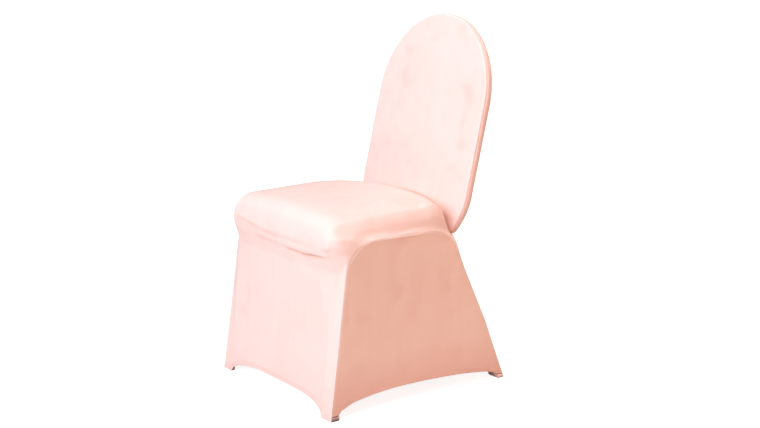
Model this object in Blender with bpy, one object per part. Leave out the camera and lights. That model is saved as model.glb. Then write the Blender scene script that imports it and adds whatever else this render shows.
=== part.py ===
# Stretch cover for a round-backed banquet chair, built from the pieces that are cut and sewn.
# Metres, +Z up. The front of the seat looks along -Y. The origin is on the floor, under the middle.

import math

import bmesh
import bpy
import numpy as np

# Cloth
CLOTH = 0.0012            # thickness of the knitted cloth
EDGE_INSET = 0.00018      # each cut edge stops this short of the middle of its seam
MITRE_LIMIT = 0.55        # keeps the inner edge of a sharp seam from running far in
POINT_INSET = 0.0013      # the same, where more than two pieces come to one point
MIDDLE_Y = 0.02144        # from the point that the tables are measured from to the middle of the cover

# Back: a reclined pad with a domed top, measured along its slope from the height of the seat
BACK_LEVEL = 0.400        # height where the slope starts
BACK_Y = 0.1605           # its front seam there
RECLINE = math.radians(13.0)
BACK_HALF = 0.2125        # half of the width
BACK_TOP = 0.5327         # slope length up to the top of the dome
DOME_RISE = 0.2208        # the part of it that is domed
PAD_CORNER = 0.090        # slope length where the lower corners start
PAD_FOOT = -0.012         # and where they end
PAD_FOOT_HALF = 0.178     # half of the width there
PAD_CORNER_POWER = 2.2
FRONT_EDGE = 0.011        # depth of the rounded front edge
FRONT_EDGE_SHARE = 0.055  # its share of the half width
FRONT_CROWN = 0.005
STRIP_WIDTH = 0.016       # edge strip
STRIP_END = 0.004         # its width where it runs out at the waist
STRIP_TAPER = 2.2         # outline step where it starts to narrow
STRIP_BULGE = 0.0006
STRIP_SHORT = 0.003       # it stops this far before the waist
REAR_EDGE = 0.007
REAR_CROWN = 0.005
JUNCTION = 0.0636         # slope length where the seat meets the inner back, in the middle
REAR_FOOT = 0.004         # slope length of the lower end of the pad behind
DOME_START = math.radians(88.0)

# Outline of one side panel: the line of the legs and of the seat rail, from the front foot to the rear foot
FRAME = (
    # corner         x       y       z      radius
    ("front foot",  0.2420, -0.258, 0.000, 0.000),
    ("front top",   0.2350, -0.202, 0.418, 0.088),
    ("rear top",    0.2180, 0.112, 0.415, 0.085),
    ("rear knee",   0.2380, 0.229, 0.160, 0.300),
    ("rear foot",   0.2480, 0.290, 0.000, 0.000),
)
LEG_STRAIGHT = 0.27       # share of the front leg line where its arc ends
WAIST_Z = 0.392           # height on the rear corner where the seat, side and rear pieces meet
SOLE_LIP = 0.012          # the sole cloth is turned up this far over each side tail

# Hems: level on the floor at both tails, arched between them
HEMS = (
    # hem      start    peak    end     tail     height  first power, root   last power, root
    ("front", -0.2035, -0.020, 0.2035, 0.000,    0.039,  2.6, 0.50,          4.5, 0.50),
    ("rear",  -0.2080, 0.000,  0.2080, 0.000,    0.040,  3.0, 0.50,          3.0, 0.50),
    ("side",  -0.2320, -0.060, 0.2620, SOLE_LIP, 0.045,  1.6, 0.38,          1.7, 0.50),
)

# Seat cloth in sections from the back to the front. seam counts along its side edge: 0 at the waist,
# 1 where the rail starts, 2 where the front corner starts, 3 at the floor. Each section has a middle
# point and, on its right half, the shoulder of the cushion, its side, and the ledge on the rail.
SEAT = (
    # section      seam   middle y, z     shoulder x, y, z       side x, y, z           ledge x, y, z
    ("rear roll",  0.50,  0.142, 0.470,    0.167, 0.132, 0.450,   0.185, 0.127, 0.429,    0.195, 0.129, 0.407),
    ("seat rear",  1.00,  0.100, 0.486,    0.181, 0.092, 0.470,   0.200, 0.092, 0.445,    0.207, 0.097, 0.416),
    ("middle",     1.50,  -0.010, 0.495,   0.190, -0.010, 0.4775, 0.2095, -0.010, 0.450,  0.215, -0.008, 0.432),
    ("front",      2.00,  -0.140, 0.490,   0.192, -0.137, 0.475,  0.2125, -0.131, 0.447,  0.219, -0.128, 0.431),
    ("nose top",   2.055, -0.208, 0.480,   0.194, -0.202, 0.471,  0.2135, -0.190, 0.449,  0.222, -0.1715, 0.430),
    ("nose",       2.11,  -0.2395, 0.451,  0.197, -0.2355, 0.448, 0.219, -0.2215, 0.437,  0.2275, -0.197, 0.424),
    ("crease",     2.16,  -0.2485, 0.412,  0.200, -0.247, 0.413,  0.219, -0.2365, 0.4125, 0.2285, -0.2145, 0.4075),
    ("band",       2.20,  -0.2475, 0.391,  0.200, -0.244, 0.392,  0.219, -0.2325, 0.393,  0.229, -0.2135, 0.390),
    ("tuck",       2.235, -0.2365, 0.3705, 0.200, -0.227, 0.3725, 0.2195, -0.224, 0.3735, 0.2295, -0.213, 0.372),
    ("skirt top",  2.27,  -0.233, 0.349,   0.200, -0.2205, 0.350, 0.2195, -0.2185, 0.349, 0.230, -0.214, 0.346),
)
SHOULDER, SIDE, LEDGE = 0.82, 0.91, 0.96      # where those points lie across the half width
CROWN_POWER = 2.4

# Shallow troughs (-) and ridges (+) in the seat cloth, each along a line
FOLDS = (
    # fold                from x, y, z              to x, y, z               width   depth
    ("corner smile",      0.140, -0.238, 0.392,    0.212, -0.224, 0.394,    0.006, -0.0020),
    ("corner pucker",     0.205, -0.228, 0.420,    0.229, -0.190, 0.405,    0.007, -0.0018),
    ("corner pull",       0.214, -0.215, 0.392,    0.231, -0.200, 0.384,    0.005, 0.0014),
    ("left corner tuck",  -0.216, -0.226, 0.418,   -0.150, -0.239, 0.410,   0.006, -0.0016),
    ("rear side pull",    0.188, 0.118, 0.430,     0.206, 0.060, 0.436,     0.007, -0.0016),
    ("side pull",         0.214, -0.090, 0.442,    0.213, 0.020, 0.440,     0.007, -0.0012),
)

REAR_PULL = 0.289         # y of the middle of the rear hem
WAIST_FALL = 0.10         # share of the rear panel's drop that lies beside the waist
REAR_WRAP_TOP = 6         # how squarely the rear panel wraps the pad below it
REAR_WRAP_HEM = 2.5       # and how squarely it lies at its hem
SIDE_WAIST = 0.004        # how far a side panel draws in between its legs
FRONT_WAIST = 0.003       # the same for the front skirt
SIDE_EASING = 40          # rounds of evening out the points of a side panel

# Foot pockets
POCKET_HEIGHT = 0.026
POCKET_CLEAR = 0.0009     # space between a pocket and the panels beside it
POCKET_BESIDE = 0.0002    # the lip of its sole stops this short of the side seam
POCKET_INNER = {"front": 0.2075, "rear": 0.2120}     # x of its wall towards the middle
POCKET_TAIL = {"front": -0.2325, "rear": 0.2640}     # y where it ends under the side hem
LEAN_SHARE = 0.9          # share of the leg line that gives the pocket its lean

# Samples: shares across half of the width, and along each seam
ACROSS = (0, 0.15, 0.30, 0.45, 0.58, 0.68, 0.76, 0.82, 0.87, 0.91, 0.94, 0.965, 0.985, 1)
RAIL_SHARES = (0, 0.0475, 0.07, 0.11, 0.19, 0.30, 0.43, 0.57, 0.69, 0.80, 0.89, 0.951, 1)
LEG_SHARES = (0, 0.03, 0.055, 0.08, 0.11, 0.135, 0.16, 0.18, 0.20, 0.218, 0.235, 0.252, 0.27,
              0.36, 0.50, 0.65, 0.78, 0.88, 0.94)
WAIST_SHARES = (0, 0.35, 0.70, 1)
NET = (0, 0.30, 0.58, SHOULDER, SIDE, LEDGE, 1)      # the same, of the key points of the seat cloth
ARC_POINTS = 33
DOME_STEPS = 13
BACK_STEPS = 4
CORNER_STEPS = 5
NORMAL_STEP = 0.02        # outline step over which its direction is taken

CLOTH_COLOUR = (0.90, 0.62, 0.54)
CLOTH_ROUGHNESS = 0.6
SOLE_COLOUR = (0.20, 0.13, 0.10)
SOLE_ROUGHNESS = 0.8
SHARP_ANGLE = math.radians(50)


def smooth(keys, values, at):
    # Values on a smooth curve through the keys that never swings past them
    keys = np.asarray(keys, float)
    values = np.asarray(values, float)
    at = np.asarray(at, float)
    shape = (-1,) + (1,) * (values.ndim - 1)
    step = np.diff(keys).reshape(shape)
    slope = np.diff(values, axis=0) / step
    tangent = np.zeros_like(values)
    product = slope[:-1] * slope[1:]
    total = slope[:-1] + slope[1:]
    total = np.where(np.abs(total) < 1e-12, 1e-12, total)
    tangent[1:-1] = np.where(product > 0, 2 * product / total, 0)
    tangent[0] = slope[0]
    tangent[-1] = slope[-1]
    index = np.clip(np.searchsorted(keys, at, side="right") - 1, 0, len(keys) - 2)
    t = ((at - keys[index]) / (keys[index + 1] - keys[index])).reshape(shape)
    width = step[index]
    start, end = values[index], values[index + 1]
    return (start * (1 + 2 * t) * (1 - t) ** 2 + end * t * t * (3 - 2 * t)
            + tangent[index] * width * t * (1 - t) ** 2 - tangent[index + 1] * width * t * t * (1 - t))


def rounded_path(corners):
    # Points along straight runs joined by arcs of the stated radii
    places = [np.array(row[1:4], float) for row in corners]
    points = [places[0]]
    for before, here, after, row in zip(places, places[1:], places[2:], corners[1:]):
        radius = row[4]
        back = (before - here) / np.linalg.norm(before - here)
        ahead = (after - here) / np.linalg.norm(after - here)
        half = math.acos(float(np.clip(back @ ahead, -1, 1))) / 2
        bisector = (back + ahead) / np.linalg.norm(back + ahead)
        centre = here + bisector * radius / math.sin(half)
        start = here + back * radius / math.tan(half)
        end = here + ahead * radius / math.tan(half)
        whole = math.pi - 2 * half
        for angle in np.linspace(0, whole, ARC_POINTS):
            spoke = math.sin(whole - angle) * (start - centre) + math.sin(angle) * (end - centre)
            points.append(centre + spoke / math.sin(whole))
    points.append(places[-1])
    return np.array(points)


def lengths_along(points):
    return np.concatenate(([0], np.cumsum(np.linalg.norm(np.diff(points, axis=0), axis=1))))


def walk(points, distances):
    travelled = lengths_along(points)
    return np.column_stack([np.interp(distances, travelled, points[:, i]) for i in range(3)])


def hem_height(name, at):
    # Height of a hem above the floor, at places along it
    hem = next(row for row in HEMS if row[0] == name)
    _, start, peak, end, tail, height, power1, root1, power2, root2 = hem
    at = np.asarray(at, float)
    first = at < peak
    share = np.clip(np.where(first, (at - peak) / (start - peak), (at - peak) / (end - peak)), 0, 1)
    rise = np.where(first, (1 - share ** power1) ** root1, (1 - share ** power2) ** root2)
    return tail + (height - tail) * rise


def mirror(points):
    return points * np.array([-1, 1, 1])


def both_sides(half):
    # Full rows from left to right, from rows that start in the middle
    return np.concatenate([mirror(half[:, :0:-1]), half], axis=1)


# The frame line, cut into its three seams: front leg, rail and rear leg

frame_line = rounded_path(FRAME)
frame_length = lengths_along(frame_line)
front_arc_end = frame_length[ARC_POINTS]
waist_at = next(length for point, length in zip(frame_line, frame_length)
                if point[1] > 0 and point[2] < WAIST_Z)


def front_leg(shares):
    # 0 where the front corner meets the rail, 1 at the floor
    return walk(frame_line, front_arc_end * (1 - np.asarray(shares, float)))


def rail(shares):
    # 0 at the waist, 1 where the front corner starts
    return walk(frame_line, waist_at + (front_arc_end - waist_at) * np.asarray(shares, float))


def rear_leg(shares):
    # 0 at the waist, 1 at the floor
    return walk(frame_line, waist_at + (frame_length[-1] - waist_at) * np.asarray(shares, float))


def lip_share(line):
    # Where a leg line reaches the top of the turned-up sole
    shares = np.linspace(LEG_SHARES[-1], 1, 200)
    return float(np.interp(-SOLE_LIP, -line(shares)[:, 2], shares))


front_shares = np.array(LEG_SHARES + (lip_share(front_leg), 1))
rear_shares = np.array(LEG_SHARES + (lip_share(rear_leg), 1))
across = np.array(ACROSS)

# The back: its outline and its surfaces

up_slope = np.array([0, math.sin(RECLINE), math.cos(RECLINE)])
off_slope = np.array([0, math.cos(RECLINE), -math.sin(RECLINE)])
dome_from = BACK_TOP - DOME_RISE
outline_steps = np.concatenate([
    np.linspace(0, 1, DOME_STEPS + 1),
    np.linspace(1, 2, BACK_STEPS + 1)[1:],
    np.linspace(2, 3, CORNER_STEPS + 1)[1:],
])


def corner_half(slope):
    share = np.clip((PAD_CORNER - slope) / (PAD_CORNER - PAD_FOOT), 0, 1)
    return BACK_HALF - (BACK_HALF - PAD_FOOT_HALF) * share ** PAD_CORNER_POWER


def outline(step):
    # Half width and slope length at a step: 0 dome top, 1 dome foot, 2 corner start, 3 waist
    angle = DOME_START * (1 - min(step, 1))
    if step <= 1:
        return BACK_HALF * math.cos(angle), dome_from + DOME_RISE * math.sin(angle)
    if step <= 2:
        return BACK_HALF, dome_from + (PAD_CORNER - dome_from) * (step - 1)
    slope = PAD_CORNER + (PAD_FOOT - PAD_CORNER) * (step - 2)
    return float(corner_half(slope)), slope


def pad_share(x, slope):
    # 0 in the middle of the pad and 1 on its outline
    rise = np.clip((slope - dome_from) / DOME_RISE, 0, 1)
    return np.clip(np.hypot(np.abs(x) / corner_half(slope), rise), 0, 1)


def edge_round(share):
    inside = np.clip((share - (1 - FRONT_EDGE_SHARE)) / FRONT_EDGE_SHARE, 0, 1)
    return np.sqrt(1 - inside ** 2)


def strip_width(step):
    taper = min(max((step - STRIP_TAPER) / (3 - STRIP_TAPER), 0), 1)
    return STRIP_WIDTH + (STRIP_END - STRIP_WIDTH) * taper ** 2


def on_back(x, slope, depth):
    base = np.array([0, BACK_Y, BACK_LEVEL])
    x, slope, depth = np.broadcast_arrays(np.asarray(x, float), slope, depth)
    sideways = x[..., None] * np.array([1, 0, 0])
    return base + sideways + slope[..., None] * up_slope + depth[..., None] * off_slope


def back_rows(foot, power, depth_of):
    rows = []
    for step in outline_steps:
        half, edge_slope = outline(step)
        lower = max(step - 1, 0) / 2
        middle_slope = edge_slope if step <= 1 else dome_from + (foot - dome_from) * lower
        slope = middle_slope + (edge_slope - middle_slope) * across ** power
        x = half * across
        share = pad_share(x, slope)
        share[-1] = 1
        rows.append(on_back(x, slope, depth_of(share, step)))
    return both_sides(np.array(rows))


def front_depth(share, _step):
    return -(FRONT_EDGE * edge_round(share) + FRONT_CROWN * (1 - share ** 2) * (share < 1))


def rear_depth(share, step):
    seam = strip_width(step)
    crown = REAR_CROWN * (1 - share ** 2) * (share < 1)
    return seam + (STRIP_WIDTH + REAR_EDGE - seam) * edge_round(share) + crown


def inner_back_grid():
    return back_rows(JUNCTION, 3, front_depth)


def waist_line(shares):
    # From the rear edge of the strip to the rail, where the seat cloth meets the rear cloth
    half, slope = outline(3)
    start = on_back(half, slope, STRIP_END)
    end = rail([0])[0]
    shares = np.asarray(shares, float)[:, None]
    return start * (1 - shares) + end * shares


def rear_grid():
    pad = back_rows(REAR_FOOT, 3, rear_depth)
    rows = []
    top = pad[-1][len(across) - 1:]
    hem_x = rear_leg([1])[0][0]
    leg = rear_leg(rear_shares[1:])
    edges = np.concatenate([waist_line(WAIST_SHARES[1:]), leg])
    beside_waist = np.array(WAIST_SHARES[1:]) * WAIST_FALL
    fall = np.concatenate([beside_waist, WAIST_FALL + (1 - WAIST_FALL) * rear_shares[1:]])
    middle_top = top[0]
    middle_hem = np.array([0, REAR_PULL, float(hem_height("rear", 0))])
    for edge, share in zip(edges, fall):
        middle = middle_top * (1 - share) + middle_hem * share
        power = REAR_WRAP_TOP + (REAR_WRAP_HEM - REAR_WRAP_TOP) * share
        blend = across ** power
        row = np.zeros((len(across), 3))
        row[:, 0] = edge[0] * across
        row[:, 1] = middle[1] + (edge[1] - middle[1]) * blend
        row[:, 2] = middle[2] + (edge[2] - middle[2]) * blend
        rows.append(row)
    grid = np.concatenate([pad, both_sides(np.array(rows))])
    return lower_to_hem(grid, "rear", len(outline_steps) + len(WAIST_SHARES) - 1, hem_x)


def lower_to_hem(grid, name, first, half):
    # The rows from first on spread from where they are to an arched hem
    span = len(grid) - first
    last = grid[-1].copy()
    wanted = hem_height(name, last[:, 0])
    shift = wanted - last[:, 2]
    for i in range(first, len(grid)):
        share = (i - first + 1) / span
        drop = shift * share ** 2
        grid[i, :, 2] += np.where(np.abs(last[:, 0]) > half * 0.999, 0, drop)
    return grid


def seat_net():
    # Key points of the right half of each section of the seat cloth
    keys = np.array(NET)
    sections = []
    for row in SEAT:
        _, seam, mid_y, mid_z, *rest = row
        shoulder, side, ledge = np.array(rest, float).reshape(3, 3)
        edge = seat_edge([seam])[0]
        points = []
        for key in keys[keys < SHOULDER]:
            share = key / SHOULDER
            drop = share ** CROWN_POWER
            points.append((shoulder[0] * share,
                           mid_y + (shoulder[1] - mid_y) * drop,
                           mid_z + (shoulder[2] - mid_z) * drop))
        sections.append(np.array(points + [shoulder, side, ledge, edge]))
    return keys, np.array(sections)


def seat_edge(seams):
    # The side edge of the seat cloth by its seam count
    points = []
    for seam in seams:
        if seam <= 1:
            points.append(waist_line([seam])[0])
        elif seam <= 2:
            points.append(rail([seam - 1])[0])
        else:
            points.append(front_leg([seam - 2])[0])
    return np.array(points)


def seat_grid(junction):
    # junction is the right half of the lower edge of the inner back
    keys, sections = seat_net()
    seams = np.concatenate([WAIST_SHARES[:-1], 2 - np.array(RAIL_SHARES)[::-1], 2 + front_shares[1:]])
    section_at = np.array([0] + [row[1] for row in SEAT])
    first = np.array([smooth(across, junction, [key])[0] for key in keys])
    net = np.concatenate([first[None], sections])
    top = seams <= section_at[-1] + 1e-9
    columns = smooth(section_at, net, seams[top])
    rows = [smooth(keys, column, across) for column in columns]
    rows[0] = junction.copy()
    last = rows[-1]
    hem_x = front_leg([1])[0][0]
    hem = np.zeros_like(last)
    hem[:, 0] = last[:, 0] / last[-1, 0] * hem_x
    foot = front_leg([1])[0]
    straight = front_leg([LEG_STRAIGHT])[0] - foot
    slope = straight / straight[2]
    right = both_sides(hem[None])[0]
    right[:, 2] = hem_height("front", right[:, 0])
    right[:, 1] = foot[1] + right[:, 2] * slope[1]
    full = both_sides(np.array(rows))
    start = full[-1]
    low_rows = []
    for seam in seams[~top]:
        share = (seam - section_at[-1]) / (3 - section_at[-1])
        row = start * (1 - share) + right * share
        from_middle = np.abs(np.linspace(-1, 1, len(row)))
        row[:, 1] += FRONT_WAIST * math.sin(math.pi * share) ** 2 * (1 - from_middle ** 3)
        low_rows.append(row)
    grid = np.concatenate([full, np.array(low_rows)])
    edge = seat_edge(seams)
    grid[1:, -1] = edge[1:]
    grid[1:, 0] = mirror(edge[1:])
    return press_folds(grid)


def press_folds(grid):
    normals = grid_normals(grid)
    shift = np.zeros(grid.shape[:2])
    for row in FOLDS:
        start, end = np.array(row[1:4]), np.array(row[4:7])
        width, depth = row[7], row[8]
        along = np.clip(((grid - start) @ (end - start)) / ((end - start) @ (end - start)), 0, 1)
        away = np.linalg.norm(grid - (start + along[..., None] * (end - start)), axis=2)
        shift += depth * np.exp(-(away / width) ** 2)
    shift[0] = shift[-1] = 0
    shift[:, 0] = shift[:, -1] = 0
    return grid + normals * shift[..., None]


def side_grid():
    # Right side panel: rows from the hem up to the rail, columns from front to rear
    shares = np.array(RAIL_SHARES)
    top = rail(1 - shares)
    front = front_leg(front_shares[:-1])[::-1]
    rear = rear_leg(rear_shares[:-1])[::-1]
    height = 1 - np.concatenate([LEG_SHARES, [1]])[::-1]
    start, end = front[0], rear[0]
    y = start[1] + (end[1] - start[1]) * shares
    hem = np.column_stack([start[0] + (end[0] - start[0]) * shares, y, hem_height("side", y)])
    u, v = shares[None, :, None], height[:, None, None]
    grid = (front[:, None] * (1 - u) + rear[:, None] * u + hem[None] * (1 - v) + top[None] * v
            - start * (1 - u) * (1 - v) - end * u * (1 - v) - top[0] * (1 - u) * v - top[-1] * u * v)
    for _ in range(SIDE_EASING):
        grid[1:-1, 1:-1] = (grid[:-2, 1:-1] + grid[2:, 1:-1] + grid[1:-1, :-2] + grid[1:-1, 2:]) / 4
    draw_in = SIDE_WAIST * np.sin(math.pi * u) * (1 - v ** 2)
    grid[:, 1:-1, 0] -= draw_in[:, 1:-1, 0]
    return grid


def strip_grid():
    # Rows go from the right waist over the dome to the left one, columns from the front seam to the rear one
    rows = []
    for step in outline_steps[::-1]:
        half, slope = outline(step)
        width = strip_width(step)
        out_x, out_s = outline_normal(step)
        row = []
        for share in (0, 0.5, 1):
            bulge = STRIP_BULGE * 4 * share * (1 - share)
            row.append(on_back(half + out_x * bulge, slope + out_s * bulge, width * share))
        rows.append(row)
    right = np.array(rows)
    return np.concatenate([right, mirror(right[::-1])])


def outline_normal(step):
    before, after = outline(max(step - NORMAL_STEP, 0)), outline(min(step + NORMAL_STEP, 3))
    along = np.array([after[0] - before[0], after[1] - before[1]])
    along /= np.linalg.norm(along)
    return -along[1], along[0]


# Cloth solids from grids

def grid_normals(grid):
    # Outward normals: rows cross columns, averaged at each point
    across_cells = grid[:-1, 1:] - grid[1:, :-1]
    down_cells = grid[1:, 1:] - grid[:-1, :-1]
    cell = np.cross(down_cells, across_cells)
    total = np.zeros_like(grid)
    total[:-1, :-1] += cell
    total[1:, :-1] += cell
    total[:-1, 1:] += cell
    total[1:, 1:] += cell
    return total / np.linalg.norm(total, axis=2, keepdims=True)


def unit(vectors):
    return vectors / np.linalg.norm(vectors, axis=-1, keepdims=True)


class Piece:
    # One cut piece of cloth: outer points, and the inner points that lie one thickness behind them

    def __init__(self, name, grid, facing):
        self.name = name
        self.outer = grid.copy()
        self.normal = grid_normals(grid) * facing
        self.facing = facing
        self.inner = grid - self.normal * CLOTH
        self.moved = {}

    def level_hem(self, row):
        flat = self.normal[row] * np.array([1, 1, 0])
        self.inner[row] = self.outer[row] - unit(flat) * CLOTH

    def inward(self, edge):
        # Direction from each edge point into the piece
        rows, columns = edge
        height, width = self.outer.shape[:2]
        towards_row = np.where(rows == 0, 1, np.where(rows == height - 1, -1, 0))
        towards_column = np.where(columns == 0, 1, np.where(columns == width - 1, -1, 0))
        side = (columns == 0) | (columns == width - 1)
        if side.all():
            towards_row = np.zeros_like(towards_row)
        else:
            towards_column = np.zeros_like(towards_column)
        edge_points = self.outer[rows, columns]
        along = unit(np.gradient(edge_points, axis=0))
        into = self.outer[rows + towards_row, columns + towards_column] - edge_points
        return unit(into - (into * along).sum(axis=1, keepdims=True) * along)

    def move(self, edge, inset, inner):
        for row, column, shift, place in zip(*edge, inset, inner):
            self.moved.setdefault((int(row), int(column)), []).append((shift, place))

    def settle(self, points=(), inset=POINT_INSET):
        for (row, column), moves in self.moved.items():
            shift = sum(m[0] for m in moves)
            inner = sum(m[1] for m in moves) / len(moves)
            self.outer[row, column] += shift
            self.inner[row, column] = inner + shift
        for row, column in points:
            step_r = 1 if row == 0 else -1 if row in (-1, self.outer.shape[0] - 1) else 0
            step_c = 1 if column == 0 else -1 if column in (-1, self.outer.shape[1] - 1) else 0
            for layer in (self.outer, self.inner):
                pull = np.zeros(3)
                if step_r:
                    pull = pull + unit(layer[row + step_r, column] - layer[row, column])
                if step_c:
                    pull = pull + unit(layer[row, column + step_c] - layer[row, column])
                layer[row, column] += pull * inset

    def shorten(self, length):
        # The first and last rows draw back along the piece
        for row, following in ((0, 1), (-1, -2)):
            for layer in (self.outer, self.inner):
                layer[row] += unit(layer[following] - layer[row]) * length

    def straighten(self, row):
        # A row becomes the straight line between its ends
        x = self.outer[row, :, :1]
        share = (x - x[0]) / (x[-1] - x[0])
        for layer in (self.outer, self.inner):
            layer[row] = layer[row, 0] * (1 - share) + layer[row, -1] * share

    def build(self):
        rows, columns = self.outer.shape[:2]
        mesh = bmesh.new()
        outer = [[mesh.verts.new(p) for p in line] for line in self.outer]
        inner = [[mesh.verts.new(p) for p in line] for line in self.inner]
        for r in range(rows - 1):
            for c in range(columns - 1):
                corners = ((r, c), (r + 1, c), (r + 1, c + 1), (r, c + 1))
                places = [self.outer[corner] for corner in corners]
                if np.linalg.norm(places[0] - places[2]) > np.linalg.norm(places[1] - places[3]):
                    corners = corners[1:] + corners[:1]
                for triple in ((0, 1, 2), (0, 2, 3)):
                    front = [outer[corners[i][0]][corners[i][1]] for i in triple]
                    behind = [inner[corners[i][0]][corners[i][1]] for i in triple]
                    mesh.faces.new(front if self.facing > 0 else front[::-1])
                    mesh.faces.new(behind[::-1] if self.facing > 0 else behind)
        rim = [(r, 0) for r in range(rows)]
        rim += [(rows - 1, c) for c in range(1, columns)]
        rim += [(r, columns - 1) for r in range(rows - 2, -1, -1)]
        rim += [(0, c) for c in range(columns - 2, 0, -1)]
        for here, after in zip(rim, rim[1:] + rim[:1]):
            wall = [outer[after[0]][after[1]], outer[here[0]][here[1]],
                    inner[here[0]][here[1]], inner[after[0]][after[1]]]
            if self.facing < 0:
                wall.reverse()
            if (wall[0].co - wall[2].co).length > (wall[1].co - wall[3].co).length:
                wall = wall[1:] + wall[:1]
            mesh.faces.new((wall[0], wall[1], wall[2]))
            mesh.faces.new((wall[0], wall[2], wall[3]))
        finish(self.name, mesh, CLOTH_COLOUR, CLOTH_ROUGHNESS)


def finish(name, mesh, colour, roughness):
    for vertex in mesh.verts:
        vertex.co.y -= MIDDLE_Y
    data = bpy.data.meshes.new(name)
    mesh.to_mesh(data)
    mesh.free()
    data.shade_smooth()
    data.set_sharp_from_angle(angle=SHARP_ANGLE)
    data.materials.append(material(name, colour, roughness))
    thing = bpy.data.objects.new(name, data)
    bpy.context.scene.collection.objects.link(thing)


def material(name, colour, roughness):
    cloth = bpy.data.materials.new(name + "_cloth")
    cloth.use_nodes = True
    shader = cloth.node_tree.nodes["Principled BSDF"]
    shader.inputs["Base Color"].default_value = (*colour, 1)
    shader.inputs["Roughness"].default_value = roughness
    shader.inputs["Metallic"].default_value = 0
    return cloth


def sew(first, first_edge, second, second_edge):
    # Two pieces share a seam line: both edges are mitred to one plane and stop just short of it
    n1 = first.normal[first_edge]
    n2 = second.normal[second_edge]
    d1 = first.inward(first_edge)
    d2 = second.inward(second_edge)
    apart = unit(d1 - d2)
    place = first.outer[first_edge]
    closeness = np.clip(1 + (n1 * n2).sum(axis=1, keepdims=True), MITRE_LIMIT, 2)
    inner = place - CLOTH * (n1 + n2) / closeness
    first.move(first_edge, apart * EDGE_INSET, inner)
    second.move(second_edge, -apart * EDGE_INSET, inner)


def edge_rows(column, start, stop, step=1):
    rows = np.arange(start, stop, step)
    return rows, np.full(len(rows), column)


def edge_columns(row, start, stop, step=1):
    columns = np.arange(start, stop, step)
    return np.full(len(columns), row), columns


# Foot pockets

def stepped_solid(name, xs, ys, heights, lean):
    # A block whose cells have their own heights: a sole with the walls that stand on it
    mesh = bmesh.new()
    levels = sorted({0.0, *(h for line in heights for h in line)})
    verts = {}

    def vertex(x, y, z):
        key = (round(x, 6), round(y, 6), round(z, 6))
        if key not in verts:
            verts[key] = mesh.verts.new((x + lean[0] * z, y + lean[1] * z, z))
        return verts[key]

    def face(points):
        mesh.faces.new([vertex(*p) for p in points])

    def height(i, j):
        inside = 0 <= i < len(xs) - 1 and 0 <= j < len(ys) - 1
        return heights[j][i] if inside else 0.0

    for i in range(len(xs) - 1):
        for j in range(len(ys) - 1):
            x0, x1, y0, y1, top = xs[i], xs[i + 1], ys[j], ys[j + 1], heights[j][i]
            face(((x0, y0, 0), (x0, y1, 0), (x1, y1, 0), (x1, y0, 0)))
            face(((x0, y0, top), (x1, y0, top), (x1, y1, top), (x0, y1, top)))
            for z0, z1 in zip(levels, levels[1:]):
                if z1 > top + 1e-9:
                    continue
                if height(i - 1, j) < z1:
                    face(((x0, y1, z0), (x0, y0, z0), (x0, y0, z1), (x0, y1, z1)))
                if height(i + 1, j) < z1:
                    face(((x1, y0, z0), (x1, y1, z0), (x1, y1, z1), (x1, y0, z1)))
                if height(i, j - 1) < z1:
                    face(((x0, y0, z0), (x1, y0, z0), (x1, y0, z1), (x0, y0, z1)))
                if height(i, j + 1) < z1:
                    face(((x1, y1, z0), (x0, y1, z0), (x0, y1, z1), (x1, y1, z1)))
    bmesh.ops.triangulate(mesh, faces=mesh.faces[:])
    finish(name, mesh, SOLE_COLOUR, SOLE_ROUGHNESS)


def foot_pocket(place, side):
    # place is front or rear, side is left or right
    line = front_leg if place == "front" else rear_leg
    end = -1 if place == "front" else 1
    foot, higher = line([1])[0], line([LEAN_SHARE])[0]
    lean = (higher - foot) / (higher - foot)[2]
    outer_x = foot[0] - POCKET_BESIDE
    clear_x = foot[0] - CLOTH - POCKET_CLEAR
    inner_x = POCKET_INNER[place]
    tail_y = POCKET_TAIL[place]
    outer_y = foot[1] - end * (CLOTH + POCKET_CLEAR)
    xs = [inner_x, inner_x + CLOTH, clear_x - CLOTH, outer_x]
    ys = [outer_y, tail_y + end * CLOTH, tail_y]
    lip = SOLE_LIP - 2 * POCKET_CLEAR
    heights = [[POCKET_HEIGHT, CLOTH, lip], [POCKET_HEIGHT, POCKET_HEIGHT, lip]]
    if place == "rear":
        ys, heights = ys[::-1], heights[::-1]
    if side == "left":
        xs = [-x for x in xs[::-1]]
        heights = [row[::-1] for row in heights]
        lean = lean * np.array([-1, 1, 1])
    stepped_solid("foot_pocket_" + place + "_" + side, xs, ys, heights, lean)


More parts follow.
